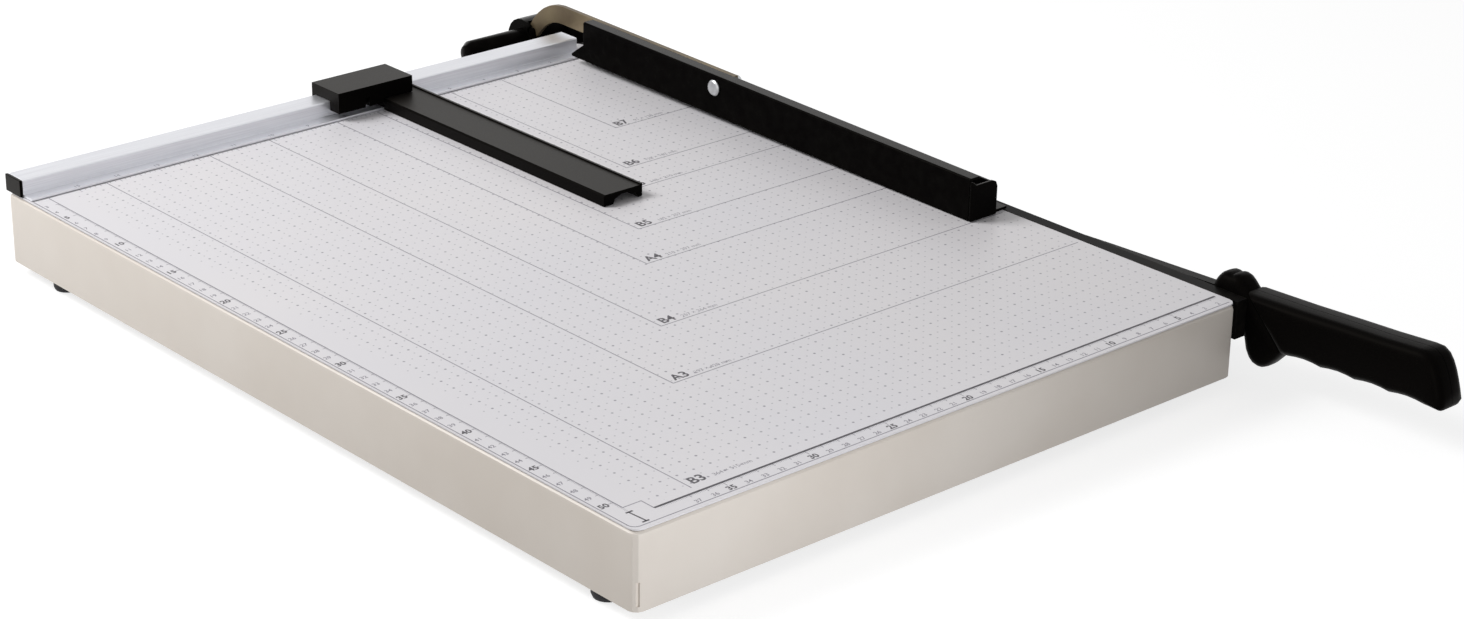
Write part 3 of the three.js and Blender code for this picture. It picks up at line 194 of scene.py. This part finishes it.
# Table plate. A thin aluminium sheet with a pale satin lacquer, laid on the tray and screen
# printed all over with a grid of small dots.
plate_low, plate_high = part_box("table_plate")
zero_right = 11.0   # from the plate's right edge to the cut, where all widths start
zero_front = 5.4    # from the plate's rear edge to the line where all lengths start
scales_zero = Vector((plate_high.x + zero_right * mm, plate_high.y - zero_front * mm))
dot_pitch = 10.0
dot_phase_across = 0.9
dot_phase_down = 7.3
dot_radius = 0.66
small_dot_radius = 0.46
small_dot_strength = 0.7
dot_blur = 0.3   # share of a dot's radius over which its edge fades
dot_field_left = 388.0
dot_field_right = 14.0
dot_field_front = 512.0
dot_field_rear = 24.0

# Satin lacquer over aluminium: pale, barely lavender, with a fine tooth, drawn coarser than it
# is. The dots are printed grey, strong on every 10 mm and fainter half way between.
printed_lacquer, tree, shader, place = finish("printed_satin_lacquer", ior=1.5)


def dots_at(shift_across, shift_down, radius):
    """1 inside the dots of a square grid that is shifted by shares of its pitch, otherwise 0."""
    origin = (scales_zero.x - (dot_phase_across + shift_across * dot_pitch) * mm,
              scales_zero.y - (dot_phase_down + shift_down * dot_pitch) * mm, 0.0)
    offset = node(tree, "ShaderNodeVectorMath", {0: place, 1: origin}, operation="SUBTRACT")
    cells = node(tree, "ShaderNodeVectorMath", {0: offset.outputs[0], "Scale": per_metre(dot_pitch)},
                 operation="SCALE")
    centred = node(tree, "ShaderNodeVectorMath", {0: cells.outputs[0], 1: (0.5, 0.5, 0.5)},
                   operation="ADD")
    wrapped = node(tree, "ShaderNodeVectorMath", {0: centred.outputs[0]}, operation="FRACTION")
    local = node(tree, "ShaderNodeVectorMath", {0: wrapped.outputs[0], 1: (0.5, 0.5, 0.5)},
                 operation="SUBTRACT")
    flat = node(tree, "ShaderNodeVectorMath", {0: local.outputs[0], 1: (1.0, 1.0, 0.0)},
                operation="MULTIPLY")
    reach = node(tree, "ShaderNodeVectorMath", {0: flat.outputs[0]}, operation="LENGTH")
    return node(tree, "ShaderNodeMapRange",
                {"Value": reach.outputs["Value"], "From Min": radius * (1 + dot_blur) / dot_pitch,
                 "From Max": radius * (1 - dot_blur) / dot_pitch}).outputs["Result"]


strong = dots_at(0.0, 0.0, dot_radius)
halfway = node(tree, "ShaderNodeMath", {0: dots_at(0.5, 0.0, small_dot_radius),
                                        1: dots_at(0.0, 0.5, small_dot_radius)},
               operation="MAXIMUM")
faint = node(tree, "ShaderNodeMath", {0: halfway.outputs[0], 1: small_dot_strength},
             operation="MULTIPLY")
dots = node(tree, "ShaderNodeMath", {0: strong, 1: faint.outputs[0]}, operation="MAXIMUM").outputs[0]
axes = node(tree, "ShaderNodeSeparateXYZ", {"Vector": place})
for axis, limit, side in (
        ("X", scales_zero.x - dot_field_left * mm, "GREATER_THAN"),
        ("X", scales_zero.x - dot_field_right * mm, "LESS_THAN"),
        ("Y", scales_zero.y - dot_field_front * mm, "GREATER_THAN"),
        ("Y", scales_zero.y - dot_field_rear * mm, "LESS_THAN")):
    inside = node(tree, "ShaderNodeMath", {0: axes.outputs[axis], 1: limit}, operation=side)
    dots = node(tree, "ShaderNodeMath", {0: dots, 1: inside.outputs[0]},
                operation="MULTIPLY").outputs[0]
uneven = node(tree, "ShaderNodeTexNoise", {"Vector": place, "Scale": per_metre(9), "Detail": 2.0})
strength = node(tree, "ShaderNodeMapRange",
                {"Value": uneven.outputs["Fac"], "From Min": 0.3, "From Max": 0.7,
                 "To Min": 0.65, "To Max": 1.0})
inked = node(tree, "ShaderNodeMath", {0: dots, 1: strength.outputs["Result"]}, operation="MULTIPLY")
tone = node(tree, "ShaderNodeTexNoise", {"Vector": place, "Scale": per_metre(120), "Detail": 2.0})
ground = node(tree, "ShaderNodeValToRGB", {"Fac": tone.outputs["Fac"]},
              stops=[(0.3, linear("#DEDCE0")), (0.7, linear("#E1DEE0"))])
printed = node(tree, "ShaderNodeMix",
               {"Factor": inked.outputs[0], "A": ground.outputs["Color"],
                "B": linear("#85828B")}, data_type="RGBA")
tree.links.new(printed.outputs["Result"], shader.inputs["Base Color"])
tooth = node(tree, "ShaderNodeTexNoise", {"Vector": place, "Scale": per_metre(0.8), "Detail": 2.0})
vary(shader, tooth.outputs["Fac"], dullness=(0.38, 0.5), relief=(0.08, 0.02))

dress(["table_plate"], printed_lacquer, edge=0.6)


# Print. Ink screened onto the plate and the fence's ledge through two stencils, a dark one and a
# pale one: outlines of the paper sizes, two centimetre scales and an inch scale.
ink_thickness = 0.02
ink_gap = 0.01
print_floor = plate_high.z + ink_gap * mm
capital_share = 1.4   # the font's size to the height of its capitals
letter_steps = 3
ink = bmesh.new()
thin = bmesh.new()


def on_plate(left, front, floor=print_floor):
    """A point on the plate, from millimetres left of the cut and in front of the scales' zero."""
    return Vector((scales_zero.x - left * mm, scales_zero.y - front * mm, floor))


def print_bar(stencil, left, front, end_left, end_front, width):
    """Adds one straight printed line, as a closed strip of ink as thick as ink_thickness."""
    start, end = on_plate(left, front), on_plate(end_left, end_front)
    along = (end - start).normalized()
    aside = Vector((-along.y, along.x, 0)) * width / 2 * mm
    raised = Vector((0, 0, ink_thickness * mm))
    ring = [start - aside, end - aside, end + aside, start + aside]
    low = [stencil.verts.new(p) for p in ring]
    top = [stencil.verts.new(p + raised) for p in ring]
    stencil.faces.new(top)
    stencil.faces.new(low[::-1])
    for i in range(4):
        stencil.faces.new((low[i], low[(i + 1) % 4], top[(i + 1) % 4], top[i]))


def print_words(stencil, words, height, left, front, floor=print_floor, align="LEFT", bold=0.0):
    """Adds lettering whose baseline starts at that place and reads towards the cut."""
    curve = bpy.data.curves.new("words", "FONT")
    curve.body = words
    curve.size = height * capital_share * mm
    curve.align_x = align
    curve.extrude = ink_thickness / 2 * mm
    curve.offset = bold * height * mm
    curve.resolution_u = letter_steps
    letters = bpy.data.objects.new("words", curve)
    mesh = bpy.data.meshes.new_from_object(letters)
    mesh.transform(Matrix.Translation(
        on_plate(left, front, floor + ink_thickness / 2 * mm)))
    stencil.from_mesh(mesh)
    bpy.data.objects.remove(letters)
    bpy.data.curves.remove(curve)
    bpy.data.meshes.remove(mesh)


fence_side = 19.6   # where the print ends behind, at the fence
knife_side = 14.0   # and at the right, beside the knife

# Outlines of the paper sizes, each with its name and its measure at the front left corner.
paper_sizes = [("B7", 91, 128), ("B6", 128, 182), ("A5", 148, 210), ("B5", 182, 257),
               ("A4", 210, 297), ("B4", 257, 364), ("A3", 297, 420), ("B3", 364, 515)]
frame_line = 0.6
label_height = 6.2
label_bold = 0.03
label_inset = 3.0
label_lift = 2.0
note_height = 2.8
note_inset = 16.0
largest_cut_short = 4.0
largest_label_lift = 6.5
for name, width, length in paper_sizes:
    largest = name == "B3"
    line_end = length - largest_cut_short if largest else length
    print_bar(thin, width, fence_side, width, line_end, frame_line)
    if not largest:
        print_bar(thin, width, length, knife_side, length, frame_line)
    baseline = length - (largest_label_lift if largest else label_lift)
    print_words(ink, name, label_height, width - label_inset, baseline,
                bold=label_bold)
    print_words(thin, f"{width} × {length} mm", note_height, width - note_inset, baseline)

# Border with a round corner, inner ruler line, thick front line and the front left corner's box.
strip_line = 0.6
ruler_inner = 400.3
ruler_outer = 409.7
front_line = 515.5
front_line_width = 1.4
front_outer = 525.2
corner_box_rear = 506.5
corner_box_right = 389.7
corner_radius = 4.0
corner_steps = 5
round_left, round_front = ruler_outer - corner_radius, front_outer - corner_radius
print_bar(thin, ruler_outer, fence_side, ruler_outer, round_front, strip_line)
print_bar(thin, round_left, front_outer, knife_side, front_outer, strip_line)
turns = [math.pi / 2 * step / corner_steps for step in range(corner_steps + 1)]
arc = [(round_left + corner_radius * math.cos(a), round_front + corner_radius * math.sin(a))
       for a in turns]
for start, end in zip(arc, arc[1:]):
    print_bar(thin, *start, *end, strip_line)
print_bar(thin, ruler_inner, fence_side, ruler_inner, corner_box_rear, strip_line)
print_bar(ink, corner_box_right, front_line, knife_side, front_line, front_line_width)
print_bar(thin, ruler_inner, corner_box_rear, corner_box_right, corner_box_rear, strip_line)
print_bar(thin, corner_box_right, corner_box_rear, corner_box_right, front_line, strip_line)

# The mark in that box: a leaning stem between two serifs.
mark_serif = 4.0
mark_serif_line = 1.1
mark_stem_line = 0.9
mark_lean = 0.4
mark_centre = 400.8
mark_rear = 511.6
mark_front = 523.0
for front in (mark_rear, mark_front):
    print_bar(ink, mark_centre + mark_serif / 2, front, mark_centre - mark_serif / 2, front,
              mark_serif_line)
print_bar(ink, mark_centre + mark_lean, mark_rear, mark_centre - mark_lean, mark_front,
          mark_stem_line)

# Centimetre scales along the left and front edges, with a tick for each millimetre.
fine_tick = 1.2
fine_line = 0.2
tick = 2.2
long_tick = 3.4
tick_line = 0.35
numeral = 2.8
bold_numeral = 3.8
strong_bold, plain_bold = 0.04, 0.02
side_ticks, side_numbers = range(30, 511), range(3, 51)
side_numeral_inset = 1.0
front_ticks, front_numbers = range(15, 388), range(2, 38)
front_numeral_inset = 1.2
front_tick_start = front_line_width / 2


def centimetre_mark(centimetre):
    """A mark's tick length, numeral height, stencil and boldness; each fifth one is strong."""
    if centimetre % 5 == 0:
        return long_tick, bold_numeral, ink, strong_bold
    return tick, numeral, thin, plain_bold


for millimetre in side_ticks:
    print_bar(thin, ruler_inner, millimetre, ruler_inner + fine_tick, millimetre, fine_line)
for centimetre in side_numbers:
    front = centimetre * 10
    length, height, stencil, bold = centimetre_mark(centimetre)
    print_bar(thin, ruler_inner, front, ruler_inner + length, front, tick_line)
    print_words(stencil, str(centimetre), height, ruler_outer - side_numeral_inset,
                front + height / 2, bold=bold)
for millimetre in front_ticks:
    print_bar(thin, millimetre, front_line, millimetre, front_line + fine_tick + front_tick_start,
              fine_line)
for centimetre in front_numbers:
    left = centimetre * 10
    length, height, stencil, bold = centimetre_mark(centimetre)
    print_bar(thin, left, front_line, left, front_line + length + front_tick_start, tick_line)
    print_words(stencil, str(centimetre), height, left, front_outer - front_numeral_inset,
                align="CENTER", bold=bold)

# Inch scale in front of the fence, its ticks on the plate and its numerals on the ledge.
inch = 25.4
eighths = 8
first_eighth, last_inch = 4, 15
inch_tick, half_tick, eighth_tick = 3.2, 2.2, 1.4
inch_rear = 19.2
inch_numeral_gap = 1.4
ledge_rise = 1.52   # the ledge's top above the plate
for eighth in range(first_eighth, last_inch * eighths + 1):
    left = eighth * inch / eighths
    whole = eighth % eighths == 0
    half = eighth % (eighths // 2) == 0
    length = inch_tick if whole else half_tick if half else eighth_tick
    print_bar(thin, left, inch_rear, left, inch_rear + length, tick_line)
    if whole:
        print_words(thin, str(eighth // eighths), numeral, left, inch_rear - inch_numeral_gap,
                    floor=print_floor + ledge_rise * mm, align="CENTER")

# Screen-printing ink: a slightly violet grey that lies thinner in places, one dark, one pale.
for name, material_name, stencil, colours in (
        ("plate_print", "screen_printing_ink", ink, [(0.3, "#3C393E"), (0.75, "#58555B")]),
        ("plate_print_fine", "screen_printing_ink_thin", thin,
         [(0.3, "#848189"), (0.75, "#99969E")])):
    printing_ink, tree, shader, place = finish(material_name, roughness=0.5, ior=1.5)
    wear = node(tree, "ShaderNodeTexNoise", {"Vector": place, "Scale": per_metre(2.5), "Detail": 3.0})
    vary(shader, wear.outputs["Fac"], colours)
    mesh = bpy.data.meshes.new(name)
    bmesh.ops.recalc_face_normals(stencil, faces=stencil.faces)
    stencil.to_mesh(mesh)
    stencil.free()
    piece = bpy.data.objects.new(name, mesh)
    piece.data.materials.append(printing_ink)
    bpy.context.scene.collection.objects.link(piece)
    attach(piece, "base")


# Fixed knife. A ground bar of tool steel along the right edge of the table, drawn against the
# tray's wall by four bolts from a painted bar inside it.

# Ground tool steel: bright, with grinding lines along the cut, drawn coarser than they are.
ground_steel, tree, shader, place = finish("ground_tool_steel", metallic=1.0)
stretch = node(tree, "ShaderNodeMapping",
               {"Vector": place, "Scale": (per_metre(0.4), per_metre(14), per_metre(0.4))})
lines = node(tree, "ShaderNodeTexNoise", {"Vector": stretch.outputs[0], "Scale": 1.0, "Detail": 3.0})
vary(shader, lines.outputs["Fac"], [(0.3, "#B4B4B8"), (0.7, "#CDCDD1")], dullness=(0.24, 0.38),
     relief=(0.1, 0.02))

# Blackened steel, ground bright on its cutting face only: a dry black skin on the other sides.
blackened_steel, tree, shader, place = finish("blackened_steel_ground_face",
                                              specular_ior_level=0.03)
turned = node(tree, "ShaderNodeSeparateXYZ", {"Vector": place.node.outputs["Normal"]})
bare = node(tree, "ShaderNodeMapRange", {"Value": turned.outputs["X"], "From Min": 0.8,
                                         "From Max": 0.95}).outputs["Result"]
skin = node(tree, "ShaderNodeTexNoise", {"Vector": place, "Scale": per_metre(5), "Detail": 4.0})
shades = node(tree, "ShaderNodeValToRGB", {"Fac": skin.outputs["Fac"]},
              stops=[(0.35, linear("#0B0A0A")), (0.75, linear("#171513"))])
ground = node(tree, "ShaderNodeMix", {"Factor": bare, "A": shades.outputs["Color"],
                                      "B": linear("#C2C2C6")}, data_type="RGBA")
tree.links.new(ground.outputs["Result"], shader.inputs["Base Color"])
tree.links.new(bare, shader.inputs["Metallic"])
vary(shader, skin.outputs["Fac"], dullness=(0.3, 0.46))


def grazing_shine(shader, head_on, grazing):
    """Keeps a black surface black where it is seen head on, with its shine at flat angles."""
    tree = shader.id_data
    weight = node(tree, "ShaderNodeLayerWeight", {"Blend": 0.5})
    shine = node(tree, "ShaderNodeMapRange",
                 {"Value": weight.outputs["Facing"], "From Min": 0.4, "From Max": 0.66,
                  "To Min": head_on, "To Max": grazing}, name="shine")
    tree.links.new(shine.outputs["Result"], shader.inputs["Specular IOR Level"])
    shader.inputs["Specular Tint"].default_value = linear("#FFF0DC")


# Black stoving enamel: glossy, over iron that still shows a faint unevenness.
black_enamel, tree, shader, place = finish("black_stoving_enamel", ior=1.5)
grazing_shine(shader, 0.01, 0.13)
skin = node(tree, "ShaderNodeTexNoise", {"Vector": place, "Scale": per_metre(6), "Detail": 4.0})
vary(shader, skin.outputs["Fac"], [(0.35, "#050404"), (0.75, "#0B0A09")], dullness=(0.2, 0.32))
peel = node(tree, "ShaderNodeTexNoise", {"Vector": place, "Scale": per_metre(2.2), "Detail": 2.0})
vary(shader, peel.outputs["Fac"], relief=(0.08, 0.05))

dress(["fixed_knife"], blackened_steel, edge=0.15)
dress(["knife_mount_bar"], black_enamel, edge=0.4)


# Fence rail. A hollow aluminium extrusion with a thin ledge in front, held from below by two
# screws and closed at the left by a moulded cap.

# Anodised aluminium: a cool pale grey with soft streaks along the extrusion, which are drawn
# coarser than the die leaves them.
anodised, tree, shader, place = finish("anodised_aluminium", metallic=0.85)
stretch = node(tree, "ShaderNodeMapping",
               {"Vector": place, "Scale": (per_metre(60), per_metre(0.5), per_metre(0.5))})
drawn = node(tree, "ShaderNodeTexNoise", {"Vector": stretch.outputs[0], "Scale": 1.0, "Detail": 3.0})
vary(shader, drawn.outputs["Fac"], [(0.3, "#D6D6DB"), (0.7, "#E4E5E9")], dullness=(0.32, 0.46),
     relief=(0.08, 0.02))

# ABS, injection moulded in a lightly etched tool: near black, with a dry satin shine. The etch
# is drawn coarser than it is.
black_abs, tree, shader, place = finish("black_moulded_abs", ior=1.54)
grazing_shine(shader, 0.01, 0.2)
etch = node(tree, "ShaderNodeTexNoise", {"Vector": place, "Scale": per_metre(0.6), "Detail": 3.0})
vary(shader, etch.outputs["Fac"], [(0.3, "#050404"), (0.7, "#0A0908")], dullness=(0.36, 0.5),
     relief=(0.15, 0.03))

dress(["fence_rail"], anodised, edge=0.2)
dress(["rail_end_cap"], black_abs, edge=0.4)
dress(["rail_screw_1", "rail_screw_2"], zinc_plate)


# Hinge bracket. A black painted casting bolted behind the tray: a barrel that holds the balance
# spring at its left, and a bearing lug at its right. The arm's shaft turns in bronze bushes.

# Sintered bronze: soft brown gold with fine pores, drawn coarser than they are.
bush_bronze, tree, shader, place = finish("sintered_bronze", metallic=1.0)
pores = node(tree, "ShaderNodeTexNoise", {"Vector": place, "Scale": per_metre(0.7), "Detail": 4.0})
vary(shader, pores.outputs["Fac"], [(0.35, "#7E6238"), (0.65, "#A9884F")], dullness=(0.5, 0.3))

# Blued spring wire: dark steel with a brown cast, oiled.
spring_wire, tree, shader, place = finish("oiled_spring_wire", metallic=1.0)
oil = node(tree, "ShaderNodeTexNoise", {"Vector": place, "Scale": per_metre(3), "Detail": 3.0})
vary(shader, oil.outputs["Fac"], [(0.35, "#4A4744"), (0.7, "#64605B")], dullness=(0.22, 0.4))

dress(["hinge_bracket"], black_enamel)
dress(["barrel_bush", "lug_bush"], bush_bronze)
dress(["balance_spring", "dog_pin"], spring_wire, angle=80)
dress([f"bracket_{kind}_{i}" for kind in ("bolt", "nut") for i in (1, 2, 3)], zinc_plate, edge=0.2)
dress(["pivot_shaft"], ground_steel)
dress(["shaft_nut", "shaft_washer"], zinc_plate, edge=0.15)


# Blade arm. Flame-cut steel plate, painted black, with the blade screwed inside it and the grip
# on its tang.

def drier(material, name, grazing):
    """The same black finish with less shine at flat angles."""
    twin = material.copy()
    twin.name = name
    twin.node_tree.nodes["shine"].inputs["To Max"].default_value = grazing
    return twin


# Black enamel that handling has worn: it stays black at flat angles too.
worn_enamel = drier(black_enamel, "black_stoving_enamel_worn", 0.05)

dress(["blade_arm"], worn_enamel, edge=0.5)
dress(["upper_blade"], ground_steel, edge=0.1)
dress([f"blade_screw_{i}" for i in (1, 2, 3, 4)], zinc_plate, edge=0.2)


# Grip and hilt guard. Two halves moulded in black ABS, screwed together through the tang, with a
# guard behind them that keeps the hand off the blade.

# ABS from a rougher mould: deep black, with next to no shine.
grip_abs = drier(black_abs, "black_moulded_abs_grip", 0.05)

dress(["grip_left", "grip_right", "hilt_guard"], grip_abs)
dress(["grip_screw_1", "grip_screw_2"], zinc_plate, edge=0.15)


# Clamp lever. A flat steel bar on edge, plated with yellow zinc, pinned to the ear of a black hub
# that the shaft's dog pin lifts.

# Yellow zinc plate, passivated: a dull tan with faint brown and olive clouds.
yellow_zinc, tree, shader, place = finish("yellow_zinc_plate", metallic=0.75)
cloud = node(tree, "ShaderNodeTexNoise", {"Vector": place, "Scale": per_metre(22), "Detail": 4.0})
vary(shader, cloud.outputs["Fac"], [(0.3, "#5D503E"), (0.7, "#756850")], dullness=(0.34, 0.5))

dress(["clamp_lever"], yellow_zinc, edge=0.4)
dress(["clamp_hub", "lever_pin"], black_enamel)


# Clamp bar. Folded sheet steel, painted gloss black, closed at its front by a moulded cap and
# hung on the lever by one rivet.
dress(["clamp_bar"], black_enamel, edge=0.25)
dress(["clamp_end_cap"], black_abs, edge=0.4)
dress(["clamp_rivet", "rivet_spacer_left", "rivet_spacer_right"], zinc_plate)


# Gauge. A moulded head that hooks over the rail on a nylon pad, and an arched arm over the table,
# held to it by two screws.

# Nylon, moulded: milky white, a little waxy.
white_nylon, tree, shader, place = finish("white_moulded_nylon", roughness=0.5, ior=1.53,
                                          subsurface_weight=0.1)
milk = node(tree, "ShaderNodeTexNoise", {"Vector": place, "Scale": per_metre(5), "Detail": 2.0})
vary(shader, milk.outputs["Fac"], [(0.3, "#E4E0D4"), (0.7, "#ECE9E0")])

dress(["gauge_head"], black_abs, edge=0.5)
dress(["gauge_arm"], black_abs, edge=0.3)
dress(["gauge_friction_pad"], white_nylon)
dress(["gauge_screw_1", "gauge_screw_2"], black_enamel)


# Studio. A pale floor under a white sky, a large soft lamp over the rear left, a small weak one
# before the front left corner, and the camera above that corner.
floor_half = 6.0
floor_mesh = bpy.data.meshes.new("studio_floor")
floor_mesh.from_pydata([(-floor_half, -floor_half, 0), (floor_half, -floor_half, 0),
                        (floor_half, floor_half, 0), (-floor_half, floor_half, 0)], [],
                       [(0, 1, 2, 3)])
floor = bpy.data.objects.new("studio_floor", floor_mesh)
bpy.context.scene.collection.objects.link(floor)


def seen_white(tree):
    """1 for a ray from the camera, from a reflection or through glass, otherwise 0."""
    path = node(tree, "ShaderNodeLightPath")
    seen = node(tree, "ShaderNodeMath", {0: path.outputs["Is Camera Ray"],
                                         1: path.outputs["Is Glossy Ray"]}, operation="MAXIMUM")
    through = node(tree, "ShaderNodeMath", {0: seen.outputs[0],
                                            1: path.outputs["Is Transmission Ray"]},
                   operation="MAXIMUM")
    return through.outputs[0]


# Matt white paper, which a glow brings up to white for the camera and in reflections, so that
# the shadows stay.
floor_paper, tree, shader, place = finish("matt_floor_paper", roughness=0.9,
                                          base_color=linear("#A8A8A8"), specular_ior_level=0.0,
                                          emission_color=linear("#FFFFFF"))
floor_glow = 0.75
glow = node(tree, "ShaderNodeMath", {0: seen_white(tree), 1: floor_glow}, operation="MULTIPLY")
tree.links.new(glow.outputs[0], shader.inputs["Emission Strength"])
floor.data.materials.append(floor_paper)

# A white sky to look at, which lights the object more weakly.
world = bpy.data.worlds.new("white_sky")
bpy.context.scene.world = world
world.use_nodes = True
tree = world.node_tree
tree.nodes.clear()
ambient = 0.31
level = node(tree, "ShaderNodeMapRange",
             {"Value": seen_white(tree), "To Min": ambient, "To Max": 1.0})
sky = node(tree, "ShaderNodeBackground",
           {"Color": linear("#FFFFFF"), "Strength": level.outputs["Result"]})
node(tree, "ShaderNodeOutputWorld", {"Surface": sky.outputs[0]})


def soft_lamp(name, place, target, size, watts, colour):
    """A square area lamp that looks at target."""
    data = bpy.data.lights.new(name, "AREA")
    data.shape = "SQUARE"
    data.size = size
    data.energy = watts
    data.color = linear(colour)[:3]
    lamp = bpy.data.objects.new(name, data)
    lamp.location = place
    lamp.rotation_mode = "QUATERNION"
    lamp.rotation_quaternion = (Vector(target) - Vector(place)).to_track_quat("-Z", "Y")
    bpy.context.scene.collection.objects.link(lamp)


soft_lamp("rear_left_lamp", place=(-1.0, 0.95, 1.3), target=(-0.1, 0.1, 0.03), size=0.9, watts=28,
          colour="#FFFFFF")
soft_lamp("front_lamp", place=(-0.20, -0.58, 0.10), target=(-0.12, -0.23, 0.03), size=0.2,
          watts=0.85, colour="#FAFCFF")

# The camera, from a fit of the printed outlines in the photograph; its pixels are those of the
# whole picture.
image_width, image_height = 1464, 619
azimuth, elevation, roll = (math.radians(a) for a in (42.108, 23.182, -0.983))
focal_pixels = 3300.06
centre_column, centre_row = 749.67, 309.78
eye_left, eye_front, eye_height = 1235.2, 1511.7, 703.2
camera_data = bpy.data.cameras.new("camera")
camera_data.sensor_fit = "HORIZONTAL"
camera_data.sensor_width = 36.0
camera_data.lens = focal_pixels / image_width * camera_data.sensor_width
camera_data.shift_x = (image_width / 2 - centre_column) / image_width
camera_data.shift_y = (centre_row - image_height / 2) / image_width
camera_data.clip_start = 0.05
camera_data.clip_end = 50
camera = bpy.data.objects.new("camera", camera_data)
forward = Vector((math.sin(azimuth) * math.cos(elevation), math.cos(azimuth) * math.cos(elevation),
                  -math.sin(elevation)))
upright = forward.to_track_quat("-Z", "Y").to_matrix()
camera.matrix_world = (Matrix.Translation(on_plate(eye_left, eye_front, eye_height * mm))
                       @ (upright @ Matrix.Rotation(-roll, 3, "Z")).to_4x4())
bpy.context.scene.collection.objects.link(camera)
bpy.context.scene.camera = camera
bpy.context.scene.view_settings.view_transform = "Standard"
